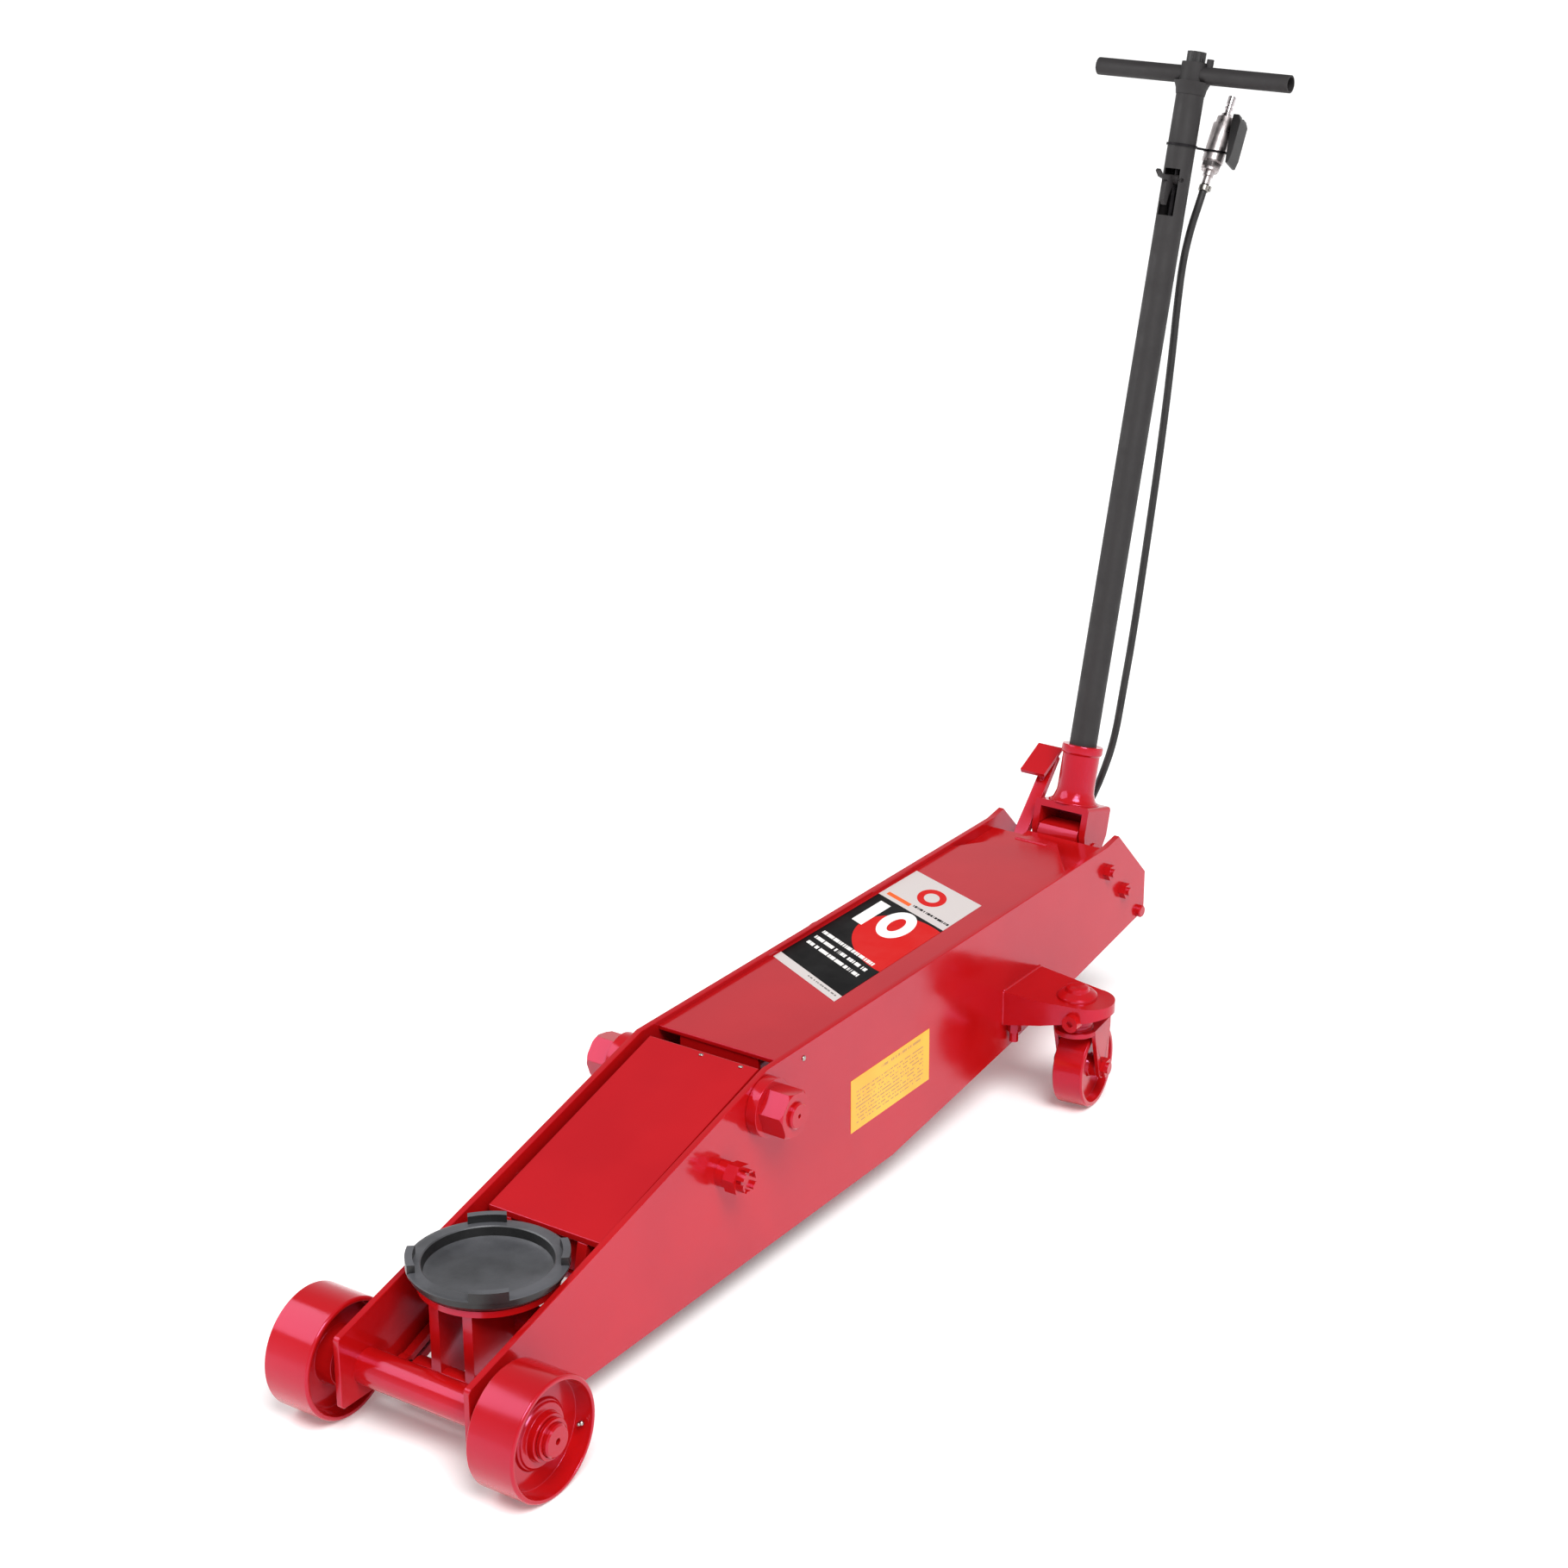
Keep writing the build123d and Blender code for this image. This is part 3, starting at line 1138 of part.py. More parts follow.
def bend_radii(points):
    """Largest arc at each inner point that leaves a little of both runs straight."""
    found = []
    for before, here, after in zip(points, points[1:], points[2:]):
        into, out = here - before, after - here
        turn = into.get_angle(out)
        shorter = min(into.length, out.length)
        found.append(0.45 * shorter / tan(radians(turn / 2)))
    return found


hose_bends = bend_radii(hose_points)
print("hose bend radii", [round(r) for r in hose_bends])
with BuildPart() as air_hose:
    with BuildLine() as hose_path:
        FilletPolyline(*hose_points, radius=hose_bends)
    with BuildSketch(Plane(origin=hose_points[0], z_dir=hose_points[1] - hose_points[0])):
        Circle(HOSE_R)
    sweep(path=hose_path.wires()[0])
hose_length = hose_path.wires()[0].length
print("hose length", round(hose_length, 1), "volume", round(air_hose.part.volume),
      "section x length", round(pi * HOSE_R ** 2 * hose_length))
save(air_hose, "air_hose")

with BuildPart() as hose_clamp:
    with BuildSketch(VALVE.offset(-10.5)):
        Circle(HOSE_R + 2)
        with Locations((HOSE_R + 2.5, 0)):
            Rectangle(5, 4)
        Circle(HOSE_R + SEAT, mode=Mode.SUBTRACT)
    extrude(amount=8)
save(hose_clamp, "hose_clamp")

# ---- labels ---------------------------------------------------------------------------------
LABEL_T = 0.4
with BuildPart() as cover_label:
    with BuildSketch(Plane.XY.offset(COVER_Z)):
        with BuildLine():
            Polyline([(at(750), 54), (at(1117), 52), (at(1171), -87), (at(821), -90)], close=True)
        make_face()
    extrude(amount=LABEL_T)
save(cover_label, "cover_label")

with BuildPart() as side_label:
    with BuildSketch(upright(PLATE_OUT + LABEL_T)):
        with Locations((at(813), 155)):
            Rectangle(188, 75)
    extrude(amount=LABEL_T)
save(side_label, "side_label")
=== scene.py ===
from math import cos, sin, pi, radians

import bmesh
import bpy
from mathutils import Matrix, Vector


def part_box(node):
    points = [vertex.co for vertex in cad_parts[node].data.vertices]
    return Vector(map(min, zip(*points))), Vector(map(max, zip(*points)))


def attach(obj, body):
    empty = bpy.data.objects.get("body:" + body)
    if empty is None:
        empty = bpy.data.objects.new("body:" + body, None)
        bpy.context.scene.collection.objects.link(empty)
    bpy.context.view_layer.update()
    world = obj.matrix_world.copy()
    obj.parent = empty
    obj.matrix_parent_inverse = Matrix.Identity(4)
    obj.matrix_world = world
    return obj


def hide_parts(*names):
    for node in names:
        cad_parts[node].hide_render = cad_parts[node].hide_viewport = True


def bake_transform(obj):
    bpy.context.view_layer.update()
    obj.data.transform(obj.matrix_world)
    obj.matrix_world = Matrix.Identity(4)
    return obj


# Looks of a long-chassis air and hydraulic service jack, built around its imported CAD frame.
# Metres, +X towards the saddle end, +Y to the left, +Z up.

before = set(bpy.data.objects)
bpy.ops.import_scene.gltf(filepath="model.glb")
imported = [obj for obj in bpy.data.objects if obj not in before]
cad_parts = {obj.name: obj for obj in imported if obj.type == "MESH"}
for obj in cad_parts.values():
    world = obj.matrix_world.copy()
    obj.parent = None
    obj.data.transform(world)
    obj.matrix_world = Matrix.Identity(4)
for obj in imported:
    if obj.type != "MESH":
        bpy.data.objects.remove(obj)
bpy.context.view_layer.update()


def middle(node):
    low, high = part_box(node)
    return (low + high) / 2


AXLE_X = middle("front_axle").x


# ---- camera ---------------------------------------------------------------------------------
CAMERA_OFFSET = Vector((2.3366, 2.1109, 2.0412))    # from the foot of the front axle
CAMERA_TURN = radians(34.65)
CAMERA_DROP = radians(21.485)
CAMERA_ROLL = radians(-0.3)
CAMERA_LENS = 73.28


def make_camera():
    forward = Vector((-cos(CAMERA_TURN) * cos(CAMERA_DROP), -sin(CAMERA_TURN) * cos(CAMERA_DROP),
                      -sin(CAMERA_DROP)))
    right = forward.cross(Vector((0, 0, 1))).normalized()
    up = right.cross(forward)
    tilted_right = right * cos(CAMERA_ROLL) + up * sin(CAMERA_ROLL)
    tilted_up = up * cos(CAMERA_ROLL) - right * sin(CAMERA_ROLL)
    data = bpy.data.cameras.new("camera")
    data.lens = CAMERA_LENS
    camera = bpy.data.objects.new("camera", data)
    bpy.context.scene.collection.objects.link(camera)
    turn = Matrix((tilted_right, tilted_up, -forward)).transposed()
    place = Vector((AXLE_X, 0, 0)) + CAMERA_OFFSET
    camera.matrix_world = Matrix.Translation(place) @ turn.to_4x4()
    bpy.context.scene.camera = camera


make_camera()


# ---- mesh helpers ---------------------------------------------------------------------------
def new_piece(name, mesh, body, material):
    piece = bpy.data.objects.new(name, mesh)
    bpy.context.scene.collection.objects.link(piece)
    mesh.materials.append(material)
    if body:
        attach(piece, body)
    return piece


def square_to(axis):
    """Two unit directions square to an axis and to each other."""
    helper = Vector((0, 0, 1)) if abs(axis.z) < 0.9 else Vector((1, 0, 0))
    first = axis.cross(helper).normalized()
    return first, axis.cross(first).normalized()


def tube_mesh(name, path, radius, sides=12, closed=False):
    """Mesh tube along points; radius is a number or a function of the point's index."""
    bm = bmesh.new()
    rings = []
    count = len(path)
    side = None
    for i, point in enumerate(path):
        after = path[(i + 1) % count] if closed or i + 1 < count else path[i]
        before = path[i - 1] if closed or i > 0 else path[i]
        along = (after - before).normalized()
        if side is None:
            side = square_to(along)[0]
        side = (side - along * side.dot(along)).normalized()
        other = along.cross(side)
        r = radius(i) if callable(radius) else radius
        turns = [2 * pi * k / sides for k in range(sides)]
        rings.append([bm.verts.new(point + (side * cos(t) + other * sin(t)) * r) for t in turns])
    pairs = list(zip(rings, rings[1:])) + ([(rings[-1], rings[0])] if closed else [])
    for low, high in pairs:
        for k in range(sides):
            bm.faces.new((low[k], low[(k + 1) % sides], high[(k + 1) % sides], high[k]))
    if not closed:
        bm.faces.new(rings[0][::-1])
        bm.faces.new(rings[-1])
    bmesh.ops.recalc_face_normals(bm, faces=bm.faces)
    for face in bm.faces:
        face.smooth = len(face.verts) == 4
    mesh = bpy.data.meshes.new(name)
    bm.to_mesh(mesh)
    bm.free()
    return mesh


# ---- air hose -------------------------------------------------------------------------------
HOSE_RADIUS = 0.0055
HOSE_LEAD = 0.028
VALVE_LEAN = radians(33)
VALVE_DIR = Vector((-sin(VALVE_LEAN), 0, cos(VALVE_LEAN)))
VALVE_END = Vector((-1.739, 0.028, 1.169))
HOSE_ROUTE = [
    (-1.477, -0.062, 0.170), (-1.502, -0.062, 0.170), (-1.5297, -0.061, 0.1815),
    (-1.5509, -0.056, 0.2027), (-1.5624, -0.046, 0.231), (-1.565, -0.031, 0.266),
    (-1.563, -0.012, 0.309), (-1.580, -0.001, 0.366), (-1.595, 0.003, 0.443),
    (-1.615, 0.005, 0.521), (-1.648, 0.006, 0.665), (-1.677, 0.008, 0.812),
    (-1.693, 0.010, 0.925), (-1.701, 0.011, 1.000), (-1.709, 0.013, 1.062),
    (-1.716, 0.020, 1.110), VALVE_END - VALVE_DIR * HOSE_LEAD, VALVE_END,
]


def hose_line():
    """The hose's centre line as one NURBS spline."""
    curve = bpy.data.curves.new("hose_line", "CURVE")
    curve.dimensions = "3D"
    curve.resolution_u = 12
    spline = curve.splines.new("NURBS")
    spline.points.add(len(HOSE_ROUTE) - 1)
    for control, point in zip(spline.points, HOSE_ROUTE):
        control.co = (AXLE_X + point[0], point[1], point[2], 1)
    spline.order_u = 3
    spline.use_endpoint_u = True
    return bpy.data.objects.new("hose_line", curve)


def make_hose(material):
    path = [v.co.copy() for v in bpy.data.meshes.new_from_object(hose_line()).vertices]
    hose = bpy.data.objects.new("hose_tube", tube_mesh("hose_tube", path, HOSE_RADIUS, sides=16))
    bpy.context.scene.collection.objects.link(hose)
    hose.data.materials.append(material)
    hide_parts("air_hose")
    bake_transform(hose)


# ---- material helpers -----------------------------------------------------------------------
def linear(red, green, blue):
    """Linear colour from 0-255 screen values."""
    return tuple((c / 255 / 12.92) if c < 10 else ((c / 255 + 0.055) / 1.055) ** 2.4
                 for c in (red, green, blue)) + (1.0,)


def start_material(name, roughness, metallic=0.0, coat=0.0, coat_roughness=0.05):
    material = bpy.data.materials.new(name)
    material.use_nodes = True
    tree = material.node_tree
    shader = tree.nodes["Principled BSDF"]
    shader.inputs["Roughness"].default_value = roughness
    shader.inputs["Metallic"].default_value = metallic
    shader.inputs["Coat Weight"].default_value = coat
    shader.inputs["Coat Roughness"].default_value = coat_roughness
    return material, tree, shader


def add(tree, kind, inputs=None, **settings):
    """New shader node; each input is a value or a socket to link."""
    node = tree.nodes.new("ShaderNode" + kind)
    for key, value in settings.items():
        setattr(node, key, value)
    for key, value in (inputs or {}).items():
        if isinstance(value, bpy.types.NodeSocket):
            tree.links.new(value, node.inputs[key])
        else:
            node.inputs[key].default_value = value
    return node


def noise(tree, scale, detail=2.0, stretch=(1, 1, 1)):
    place = add(tree, "TexCoord").outputs["Object"]
    mapped = add(tree, "Mapping", {"Vector": place, "Scale": stretch}).outputs["Vector"]
    return add(tree, "TexNoise", {"Vector": mapped, "Scale": scale, "Detail": detail}).outputs["Fac"]


def spread(tree, value, low, high, to_low, to_high):
    """Value between low and high stretched to another range, and held at its ends."""
    inputs = {"Value": value, "From Min": low, "From Max": high, "To Min": to_low, "To Max": to_high}
    return add(tree, "MapRange", inputs).outputs["Result"]


def blend_colours(tree, factor, first, second):
    mix = add(tree, "Mix", {0: factor, 6: first, 7: second}, data_type="RGBA")
    return mix.outputs[2]


def calc(tree, operation, *values):
    node = add(tree, "Math", operation=operation)
    for socket, value in zip(node.inputs, values):
        if isinstance(value, bpy.types.NodeSocket):
            tree.links.new(value, socket)
        else:
            socket.default_value = value
    return node.outputs["Value"]


def relief(tree, shader, height, strength, distance):
    bump = add(tree, "Bump", {"Height": height, "Strength": strength, "Distance": distance})
    tree.links.new(bump.outputs["Normal"], shader.inputs["Normal"])


# ---- materials ------------------------------------------------------------------------------
def make_enamel(name, light, dark, roughness=0.14):
    """Thick gloss enamel: slow drifts of colour and orange peel, with a rosy cast to what it reflects."""
    material, tree, shader = start_material(name, roughness)
    shader.inputs["Specular IOR Level"].default_value = 0.85
    shader.inputs["Specular Tint"].default_value = (1.0, 0.36, 0.68, 1.0)
    drift = spread(tree, noise(tree, 5, 3), 0.35, 0.65, 0, 1)
    tone = blend_colours(tree, drift, linear(*dark), linear(*light))
    tree.links.new(tone, shader.inputs["Base Color"])
    gloss = spread(tree, noise(tree, 14, 4), 0.3, 0.7, roughness - 0.04, roughness + 0.06)
    tree.links.new(gloss, shader.inputs["Roughness"])
    peel = calc(tree, "ADD", noise(tree, 240, 2), calc(tree, "MULTIPLY", noise(tree, 30, 2), 1.5))
    relief(tree, shader, peel, 0.06, 0.0004)
    return material


def make_powder_coat(name, colour):
    """Matt stoved coating with a fine grain and slightly rubbed patches."""
    material, tree, shader = start_material(name, 0.62)
    paler_share = spread(tree, noise(tree, 9, 4, (1, 1, 0.25)), 0.45, 0.75, 0, 0.55)
    lighter = linear(*[c * 1.16 for c in colour])
    tone = blend_colours(tree, paler_share, linear(*colour), lighter)
    tree.links.new(tone, shader.inputs["Base Color"])
    tree.links.new(spread(tree, noise(tree, 40, 3), 0.3, 0.7, 0.52, 0.7), shader.inputs["Roughness"])
    relief(tree, shader, noise(tree, 900, 2), 0.25, 0.0004)
    return material


def make_cast_black():
    """Blackened casting with painted light: near black on upright faces as painted shade, and paler, part
    metallic, on what faces up as a painted highlight, most near the rim.
    """
    material, tree, shader = start_material("cast_black", 0.42, coat=0.3, coat_roughness=0.25)
    facing = add(tree, "SeparateXYZ", {"Vector": add(tree, "NewGeometry").outputs["Normal"]}).outputs["Z"]
    # Paler towards faces that point up: a painted highlight from above, with upright faces left near black as
    # painted shade.
    paler_share = spread(tree, facing, 0.35, 0.98, 0, 1)
    patches = spread(tree, noise(tree, 14, 4), 0.38, 0.62, 0.45, 1)
    spot = add(tree, "SeparateXYZ", {"Vector": add(tree, "TexCoord").outputs["Generated"]}).outputs
    across, along = calc(tree, "SUBTRACT", spot["X"], 0.5), calc(tree, "SUBTRACT", spot["Y"], 0.5)
    reach = calc(tree, "ADD", calc(tree, "MULTIPLY", across, across), calc(tree, "MULTIPLY", along, along))
    rim = spread(tree, reach, 0.02, 0.17, 0.55, 1.0)
    # Painted highlight on upward faces, strongest near the rim and broken into patches; it also makes those
    # faces part metallic.
    painted_top_highlight = calc(tree, "MULTIPLY", calc(tree, "MULTIPLY", paler_share, patches), rim)
    tone = blend_colours(tree, painted_top_highlight, linear(10, 10, 12), linear(97, 98, 103))
    tree.links.new(tone, shader.inputs["Base Color"])
    tree.links.new(calc(tree, "MULTIPLY", painted_top_highlight, 0.45), shader.inputs["Metallic"])
    tree.links.new(spread(tree, noise(tree, 60, 4), 0.3, 0.7, 0.36, 0.5), shader.inputs["Roughness"])
    relief(tree, shader, noise(tree, 350, 4), 0.2, 0.0005)
    return material


def make_metal(name, colour, roughness, grain):
    """Bare metal with fine turning marks and a little dullness here and there."""
    material, tree, shader = start_material(name, roughness, metallic=1.0)
    dull = spread(tree, noise(tree, 60, 4), 0.4, 0.7, 0, 1)
    tone = blend_colours(tree, dull, linear(*colour), linear(*[c * 0.84 for c in colour]))
    tree.links.new(tone, shader.inputs["Base Color"])
    finish = spread(tree, noise(tree, 90, 3), 0.3, 0.7, roughness * 0.7, roughness * 1.4)
    tree.links.new(finish, shader.inputs["Roughness"])
    relief(tree, shader, noise(tree, 700, 2, grain), 0.15, 0.0003)
    return material


def make_rubber():
    material, tree, shader = start_material("hose_black", 0.55)
    chalk = spread(tree, noise(tree, 35, 4), 0.45, 0.75, 0, 1)
    tone = blend_colours(tree, chalk, linear(24, 22, 23), linear(42, 39, 39))
    tree.links.new(tone, shader.inputs["Base Color"])
    tree.links.new(spread(tree, noise(tree, 120, 2), 0.3, 0.7, 0.45, 0.62), shader.inputs["Roughness"])
    relief(tree, shader, noise(tree, 1200, 2), 0.3, 0.0003)
    return material


def make_moulded_plastic():
    material, tree, shader = start_material("lever_black", 0.42)
    tone = blend_colours(tree, noise(tree, 80, 3), linear(24, 23, 24), linear(40, 38, 39))
    tree.links.new(tone, shader.inputs["Base Color"])
    relief(tree, shader, noise(tree, 1500, 2), 0.2, 0.0002)
    return material


def label_place(tree):
    """Place inside the box around a label, each way from 0 to 1."""
    spot = add(tree, "SeparateXYZ", {"Vector": add(tree, "TexCoord").outputs["Generated"]})
    return spot.outputs


def box_mask(tree, u, v, left, right, top, bottom):
    """1 inside a rectangle of the label, 0 outside."""
    inside = calc(tree, "MULTIPLY", calc(tree, "GREATER_THAN", u, left), calc(tree, "LESS_THAN", u, right))
    rows = calc(tree, "MULTIPLY", calc(tree, "GREATER_THAN", v, top), calc(tree, "LESS_THAN", v, bottom))
    return calc(tree, "MULTIPLY", inside, rows)


def oval_mask(tree, u, v, centre, half_width, half_height):
    """1 inside an ellipse of the label, 0 outside."""
    across = calc(tree, "DIVIDE", calc(tree, "SUBTRACT", u, centre[0]), half_width)
    down = calc(tree, "DIVIDE", calc(tree, "SUBTRACT", v, centre[1]), half_height)
    reach = calc(tree, "ADD", calc(tree, "POWER", across, 2.0), calc(tree, "POWER", down, 2.0))
    return calc(tree, "LESS_THAN", reach, 1.0)


def stroke_mask(tree, u, v, lines, left, right, top, bottom, seed):
    """Rows of short dashes that stand for small print."""
    row = calc(tree, "MULTIPLY", calc(tree, "SUBTRACT", v, top), lines / (bottom - top))
    inked = calc(tree, "LESS_THAN", calc(tree, "FRACT", row), 0.42)
    number = calc(tree, "FLOOR", row)
    along, down = calc(tree, "MULTIPLY", u, 60.0), calc(tree, "MULTIPLY", number, 7.3)
    spot = add(tree, "CombineXYZ", {"X": along, "Y": down, "Z": seed})
    breaks = add(tree, "TexNoise", {"Vector": spot.outputs["Vector"], "Scale": 1.0, "Detail": 0.0})
    words = calc(tree, "GREATER_THAN", breaks.outputs["Fac"], 0.42)
    field = box_mask(tree, u, v, left, right, top, bottom)
    return calc(tree, "MULTIPLY", calc(tree, "MULTIPLY", inked, words), field)


def make_cover_print():
    """Slanted graphic label: pale head, black field with a big disc, a bar and a ring, and a pale foot."""
    material, tree, shader = start_material("cover_print", 0.45)
    shader.inputs["Specular IOR Level"].default_value = 0.12
    place = label_place(tree)
    u = place["Y"]
    start = calc(tree, "SUBTRACT", place["X"], calc(tree, "MULTIPLY", u, 0.13))
    v = calc(tree, "DIVIDE", start, calc(tree, "ADD", calc(tree, "MULTIPLY", u, 0.039), 0.831))
    paper, ink, red = linear(198, 190, 188), linear(6, 5, 6), linear(196, 18, 16)
    field = box_mask(tree, u, v, -1, 2, 0.275, 0.95)
    tone = blend_colours(tree, field, paper, ink)
    disc = oval_mask(tree, u, v, (0.87, 0.50), 0.62, 0.21)
    tone = blend_colours(tree, calc(tree, "MULTIPLY", disc, field), tone, red)
    tone = blend_colours(tree, box_mask(tree, u, v, 0.08, 0.42, 0.225, 0.25), tone, linear(222, 96, 40))
    words = stroke_mask(tree, u, v, 1, 0.45, 0.97, 0.22, 0.255, 5.3)
    tone = blend_colours(tree, words, tone, ink)
    tone = blend_colours(tree, oval_mask(tree, u, v, (0.5, 0.12), 0.17, 0.07), tone, red)
    tone = blend_colours(tree, oval_mask(tree, u, v, (0.5, 0.12), 0.09, 0.037), tone, paper)
    ring = calc(tree, "SUBTRACT", oval_mask(tree, u, v, (0.56, 0.40), 0.19, 0.115),
                oval_mask(tree, u, v, (0.56, 0.40), 0.075, 0.06))
    bar = box_mask(tree, u, v, 0.13, 0.28, 0.31, 0.52)
    white = calc(tree, "MINIMUM", calc(tree, "ADD", ring, bar), 1.0)
    tone = blend_colours(tree, white, tone, linear(240, 238, 236))
    words = stroke_mask(tree, u, v, 3, 0.07, 0.88, 0.68, 0.84, 3.1)
    tone = blend_colours(tree, words, tone, linear(225, 222, 220))
    words = stroke_mask(tree, u, v, 1, 0.5, 0.95, 0.965, 0.985, 9.7)
    tone = blend_colours(tree, words, tone, linear(110, 106, 104))
    tree.links.new(tone, shader.inputs["Base Color"])
    tree.links.new(spread(tree, noise(tree, 30, 3), 0.3, 0.7, 0.4, 0.55), shader.inputs["Roughness"])
    return material


def make_side_print():
    """Yellow label with rows of fine illegible print."""
    material, tree, shader = start_material("side_print", 0.4, coat=0.2, coat_roughness=0.1)
    place = label_place(tree)
    u, v = place["X"], calc(tree, "SUBTRACT", 1.0, place["Z"])
    faded = spread(tree, noise(tree, 12, 3), 0.35, 0.65, 0, 1)
    tone = blend_colours(tree, faded, linear(236, 166, 34), linear(242, 180, 46))
    head = stroke_mask(tree, u, v, 1, 0.1, 0.62, 0.08, 0.2, 1.7)
    small = stroke_mask(tree, u, v, 9, 0.08, 0.94, 0.26, 0.92, 5.3)
    ink = calc(tree, "MULTIPLY", calc(tree, "MINIMUM", calc(tree, "ADD", head, small), 1.0), 0.7)
    tone = blend_colours(tree, ink, tone, linear(150, 110, 70))
    tree.links.new(tone, shader.inputs["Base Color"])
    return material


RED = make_enamel("red_enamel", (178, 17, 18), (168, 12, 14))
CHARCOAL = make_powder_coat("handle_charcoal", (30, 27, 28))
CAST = make_cast_black()
STEEL = make_metal("turned_steel", (176, 172, 166), 0.3, (1, 1, 6))
CHROME = make_metal("bright_chrome", (214, 206, 208), 0.14, (1, 1, 2))
SATIN = make_metal("satin_nickel", (196, 188, 188), 0.36, (1, 1, 2))
DARK_STEEL = make_metal("oiled_steel", (98, 94, 92), 0.38, (1, 1, 1))
BLACK_STEEL = make_metal("blacked_steel", (44, 42, 44), 0.5, (1, 1, 1))
RUBBER = make_rubber()
PLASTIC = make_moulded_plastic()
COVER_PRINT = make_cover_print()
SIDE_PRINT = make_side_print()

FINISHES = {
    RED: ["side_plate_left", "side_plate_right", "top_cover", "rear_deck", "front_axle", "axle_retainers",
          "front_wheel_left", "front_wheel_right", "pivot_shaft", "pivot_washers", "pivot_nuts", "link_bolts",
          "link_nuts", "tie_bars", "rear_bolts", "rear_tie_pin", "caster_brackets", "kingpins",
          "caster_fork_left", "caster_fork_right", "caster_wheel_left", "caster_wheel_right",
          "caster_axle_left", "caster_axle_right", "lift_arm", "arm_panel", "saddle_carrier",
          "radius_rod_left", "radius_rod_right", "foot_pedal", "pedal_pin", "handle_yoke", "handle_pin",
          "pump_block", "oil_reservoir", "hydraulic_cylinder", "bracket_bolts"],
    CHARCOAL: ["handle_tube", "t_grip", "lock_lever"],
    CAST: ["saddle", "crosshead"],
    STEEL: ["arm_front_pin", "crank_pin", "carrier_pin", "pump_plunger", "hose_clamp", "hose_fitting"],
    CHROME: ["ram", "air_nipple"],
    SATIN: ["air_valve_body"],
    DARK_STEEL: ["air_motor"],
    BLACK_STEEL: ["release_rod", "valve_clip"],
    PLASTIC: ["release_knob", "air_valve_lever"],
    COVER_PRINT: ["cover_label"],
    SIDE_PRINT: ["side_label"],
}


def dress(node, material):
    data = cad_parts[node].data
    data.materials.clear()
    data.materials.append(material)


def soften(node, width, segments=2):
    """Rounds the hard edges of a CAD piece a little, as its casting or cutting would leave them."""
    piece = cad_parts[node]
    weld = piece.modifiers.new("weld", "WELD")
    weld.merge_threshold = 1e-6
    bevel = piece.modifiers.new("bevel", "BEVEL")
    bevel.width = width
    bevel.segments = segments
    bevel.limit_method = "ANGLE"
    bevel.angle_limit = radians(35)
    bevel.miter_outer = "MITER_ARC"
    normals = piece.modifiers.new("normals", "WEIGHTED_NORMAL")
    normals.keep_sharp = False


for finish, names in FINISHES.items():
    for node_name in names:
        dress(node_name, finish)

make_hose(RUBBER)

CUT_PLATES = ["side_plate_left", "side_plate_right", "top_cover", "rear_deck", "arm_panel", "lift_arm",
              "radius_rod_left", "radius_rod_right", "foot_pedal", "saddle_carrier", "oil_reservoir"]
CASTINGS = ["caster_brackets", "caster_fork_left", "caster_fork_right", "handle_yoke", "pump_block"]
TURNED = ["front_wheel_left", "front_wheel_right", "caster_wheel_left", "caster_wheel_right",
          "axle_retainers", "pivot_washers", "pivot_nuts", "link_nuts", "rear_bolts", "kingpins",
          "front_axle", "bracket_bolts", "hydraulic_cylinder", "crosshead"]
SMALL = ["lock_lever", "air_valve_body", "air_nipple", "air_valve_lever", "release_knob", "hose_clamp",
         "hose_fitting", "t_grip", "handle_pin", "pedal_pin"]
for group, edge_width in ((CUT_PLATES, 0.0009), (CASTINGS, 0.0018), (TURNED, 0.0009), (SMALL, 0.0005)):
    for node_name in group:
        soften(node_name, edge_width)
soften("saddle", 0.0012, 3)


# ---- pieces with no CAD node of their own ---------------------------------------------------
def coil_path(start, end, radius, turns, steps=12):
    """Points of a coil between two points, with a short straight tail at each end."""
    along = (end - start).normalized()
    first, second = square_to(along)
    points = [start]
    for i in range(turns * steps + 1):
        angle = 2 * pi * i / steps
        place = start.lerp(end, 0.04 + 0.92 * i / (turns * steps))
        points.append(place + first * radius * cos(angle) + second * radius * sin(angle))
    return points + [end]


SPRING_OUTER = 0.0085        # radius of the sleeve that stands for a spring in the frame
COIL_R = 0.0068
COIL_TURNS = 56
SPRING_WIRE_R = 0.0016


def make_return_springs():
    """The coils of both return springs, which run between the frame and the ram, as one fixed mesh."""
    low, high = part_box("return_springs")
    reach = high.y - SPRING_OUTER
    height = (low.z + high.z) / 2
    coils = []
    for side in (1, -1):
        back, front = Vector((low.x, side * reach, height)), Vector((high.x, side * reach, height))
        path = coil_path(back, front, COIL_R, COIL_TURNS)
        coils.append(tube_mesh("coil", path, SPRING_WIRE_R, sides=6))
    bm = bmesh.new()
    for coil in coils:
        bm.from_mesh(coil)
    mesh = bpy.data.meshes.new("return_coils")
    bm.to_mesh(mesh)
    bm.free()
    springs = new_piece("return_coils", mesh, None, DARK_STEEL)
    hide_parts("return_springs")
    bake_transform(springs)


def weld_bead(name, path, radius, body, closed=False):
    """Lumpy bead of weld along points."""
    def thick(i):
        return radius * (1 + 0.16 * sin(2.1 * i))
    new_piece(name, tube_mesh(name, path, thick, sides=8, closed=closed), body, RED)


def line_path(start, end, step=0.004):
    start, end = Vector(start), Vector(end)
    count = max(2, round((end - start).length / step))
    return [start.lerp(end, i / count) for i in range(count + 1)]


def ring_path(centre, axis, radius, count=48):
    first, second = square_to(axis)
    turns = [2 * pi * i / count for i in range(count)]
    return [centre + (first * cos(t) + second * sin(t)) * radius for t in turns]


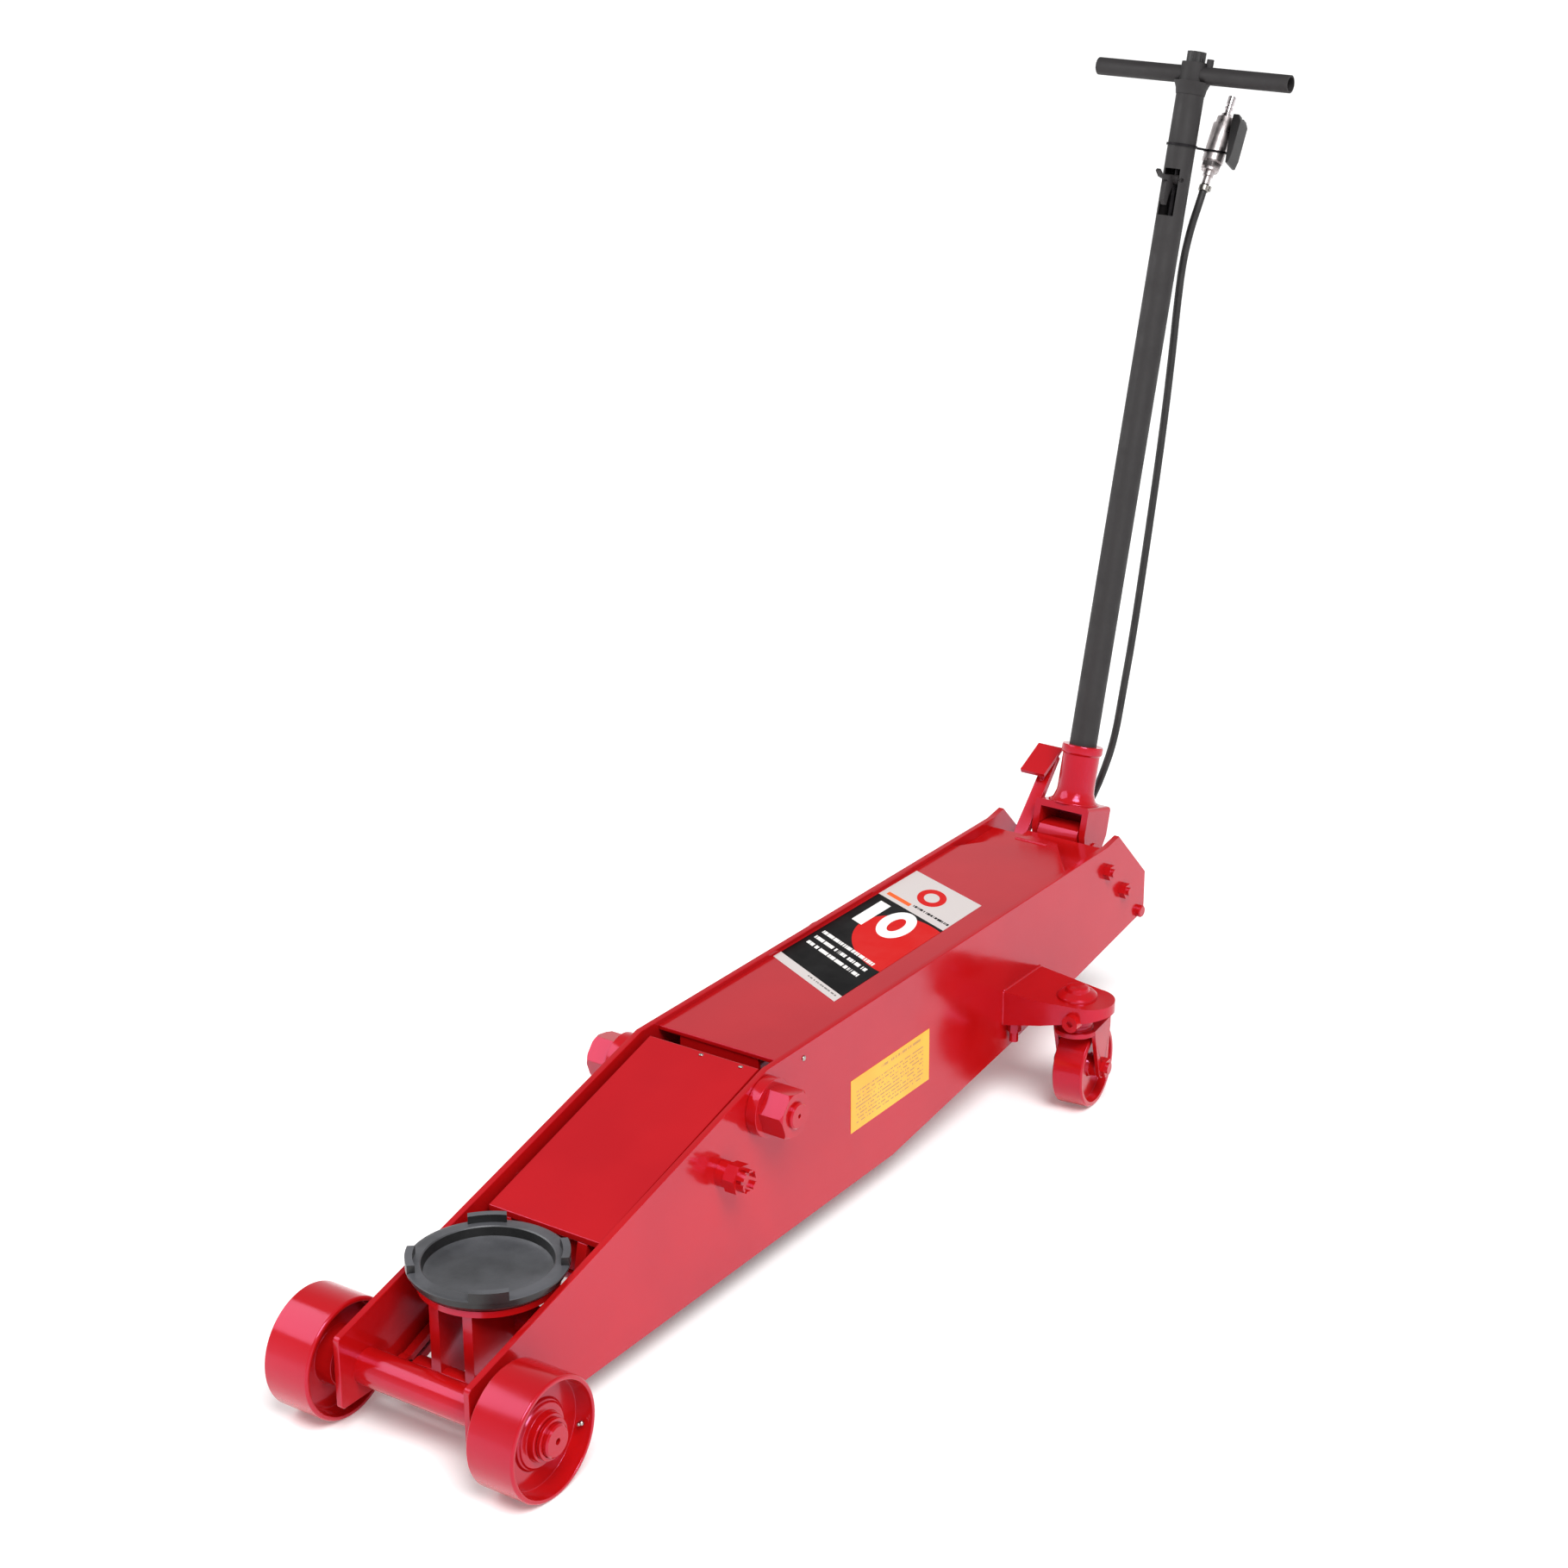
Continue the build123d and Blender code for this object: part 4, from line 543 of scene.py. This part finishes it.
def turned_mesh(name, base, axis, outline, sides=20):
    """Mesh of a small turned part from (radius, height) pairs going up an axis, ending at radius 0."""
    first, second = square_to(axis)
    bm = bmesh.new()
    tip = bm.verts.new(base + axis * outline[-1][1])
    rings = []
    for radius, height in outline[:-1]:
        turns = [2 * pi * k / sides for k in range(sides)]
        rings.append([bm.verts.new(base + axis * height + (first * cos(t) + second * sin(t)) * radius)
                      for t in turns])
    for low, high in zip(rings, rings[1:]):
        for k in range(sides):
            bm.faces.new((low[k], low[(k + 1) % sides], high[(k + 1) % sides], high[k]))
    for k in range(sides):
        bm.faces.new((rings[-1][k], rings[-1][(k + 1) % sides], tip))
    bm.faces.new(rings[0][::-1])
    bmesh.ops.recalc_face_normals(bm, faces=bm.faces)
    for face in bm.faces:
        face.smooth = len(face.verts) < 5
    mesh = bpy.data.meshes.new(name)
    bm.to_mesh(mesh)
    bm.free()
    return mesh


HANDLE_LEAN = radians(15.6)
UP_HANDLE = Vector((-sin(HANDLE_LEAN), 0, cos(HANDLE_LEAN)))
HANDLE_FOOT = Vector((AXLE_X - 1.443, 0, 0.245))
SOCKET_WELD_UP = 0.0665      # above the handle's pivot
SOCKET_WELD_R = 0.0345
PLATE_FACE = 0.1005
WELD_FACE = PLATE_FACE + 0.0005
BRACKET_FRONT, BRACKET_REAR = AXLE_X - 1.098, AXLE_X - 1.198
BRACKET_TOP, BRACKET_FOOT = 0.1718, 0.123
THICK_WELD, THIN_WELD = 0.0022, 0.0018

make_return_springs()
for side_name, side in (("left", 1), ("right", -1)):
    corner = (BRACKET_FRONT, side * WELD_FACE, BRACKET_TOP)
    rear = (BRACKET_REAR, side * WELD_FACE, BRACKET_TOP)
    foot = (BRACKET_FRONT + 0.0005, side * WELD_FACE, BRACKET_FOOT)
    weld_bead(f"bracket_weld_{side_name}", line_path(corner, rear), THICK_WELD, "chassis")
    weld_bead(f"bracket_foot_weld_{side_name}", line_path(corner, foot), THIN_WELD, "chassis")
socket_ring = ring_path(HANDLE_FOOT + UP_HANDLE * SOCKET_WELD_UP, UP_HANDLE, SOCKET_WELD_R)
weld_bead("socket_weld", socket_ring, THICK_WELD, "handle", True)

SCREW = [(0.0036, 0), (0.0034, 0.0012), (0.0022, 0.0021), (0, 0.0024)]
COVER_SCREW_X, COVER_SCREW_Z = AXLE_X - 0.612, 0.270
for name, side in (("cover_screw_near", 1), ("cover_screw_far", -1)):
    seat = Vector((COVER_SCREW_X, side * PLATE_FACE, COVER_SCREW_Z))
    mesh = turned_mesh(name, seat, Vector((0, side, 0)), SCREW)
    new_piece(name, mesh, "chassis", STEEL)

STUD_INSET, STUD_DROP = 0.006, 0.0025    # from the top rear edge of the arm's panel
panel_low, panel_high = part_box("arm_panel")
panel_up = Vector((-0.273, 0, 0.962))
for k, across in enumerate((0.0, 0.060)):
    seat = Vector((panel_low.x + STUD_INSET, across, panel_high.z - STUD_DROP))
    mesh = turned_mesh(f"panel_stud_{k}", seat, panel_up, SCREW)
    new_piece(f"panel_stud_{k}", mesh, "lift_arm", STEEL)

NIPPLE = [(0.0032, 0), (0.0032, 0.003), (0.002, 0.0035), (0.002, 0.006), (0.0025, 0.007), (0.0012, 0.0085),
          (0, 0.009)]
RIM_INSIDE, NIPPLE_INSET = 0.0645, 0.011
NIPPLE_DIR = Vector((0.972, 0, 0.235))     # from the inside of the rim towards the hub
for side_name, side in (("left", 1), ("right", -1)):
    low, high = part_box(f"front_wheel_{side_name}")
    outer = high.y if side > 0 else low.y
    hub = Vector((AXLE_X, outer - side * NIPPLE_INSET, (low.z + high.z) / 2))
    seat = hub - NIPPLE_DIR * RIM_INSIDE
    mesh = turned_mesh(f"wheel_nipple_{side_name}", seat, NIPPLE_DIR, NIPPLE, 12)
    new_piece(f"wheel_nipple_{side_name}", mesh, f"wheel_{side_name}", STEEL)


# ---- studio ---------------------------------------------------------------------------------
def make_floor():
    bm = bmesh.new()
    bmesh.ops.create_grid(bm, x_segments=8, y_segments=8, size=40)
    mesh = bpy.data.meshes.new("floor")
    bm.to_mesh(mesh)
    bm.free()
    floor = bpy.data.objects.new("floor", mesh)
    bpy.context.scene.collection.objects.link(floor)
    material, tree, shader = start_material("floor_white", 0.7)
    tone = blend_colours(tree, noise(tree, 0.6, 3), linear(244, 244, 244), linear(250, 250, 250))
    tree.links.new(tone, shader.inputs["Base Color"])
    shader.inputs["Emission Color"].default_value = (1, 1, 1, 1)
    shader.inputs["Emission Strength"].default_value = 0.12
    mesh.materials.append(material)


def make_softbox(name, direction, distance, width, height, power):
    """Rectangular light in a direction from the middle of the jack, facing it."""
    towards = Vector(direction).normalized()
    data = bpy.data.lights.new(name, "AREA")
    data.shape = "RECTANGLE"
    data.size = width
    data.size_y = height
    data.energy = power
    lamp = bpy.data.objects.new(name, data)
    bpy.context.scene.collection.objects.link(lamp)
    lamp.location = Vector((0, 0, 0.3)) + towards * distance
    lamp.rotation_euler = (-towards).to_track_quat("-Z", "Y").to_euler()


def make_sun():
    """Broad even light over the whole floor."""
    data = bpy.data.lights.new("overhead", "SUN")
    data.energy = 2.7
    data.angle = radians(30)
    lamp = bpy.data.objects.new("overhead", data)
    bpy.context.scene.collection.objects.link(lamp)
    lamp.rotation_euler = Vector((-0.34, -0.46, -0.82)).to_track_quat("-Z", "Y").to_euler()


def make_world():
    """White surroundings along the horizon, grey overhead."""
    world = bpy.data.worlds.new("studio")
    world.use_nodes = True
    tree = world.node_tree
    background = tree.nodes["Background"]
    up = add(tree, "SeparateXYZ", {"Vector": add(tree, "TexCoord").outputs["Generated"]}).outputs["Z"]
    tone = spread(tree, up, 0.04, 0.62, 0.95, 0.3)
    tree.links.new(tone, background.inputs["Color"])
    background.inputs["Strength"].default_value = 1.0
    bpy.context.scene.world = world


make_floor()
make_world()
make_sun()
make_softbox("key", (0.45, -0.65, 0.62), 3.6, 2.6, 2.0, 50)
make_softbox("fill", (0.5, 0.9, 0.9), 4.0, 2.0, 2.0, 30)
bpy.context.scene.view_settings.view_transform = "Standard"
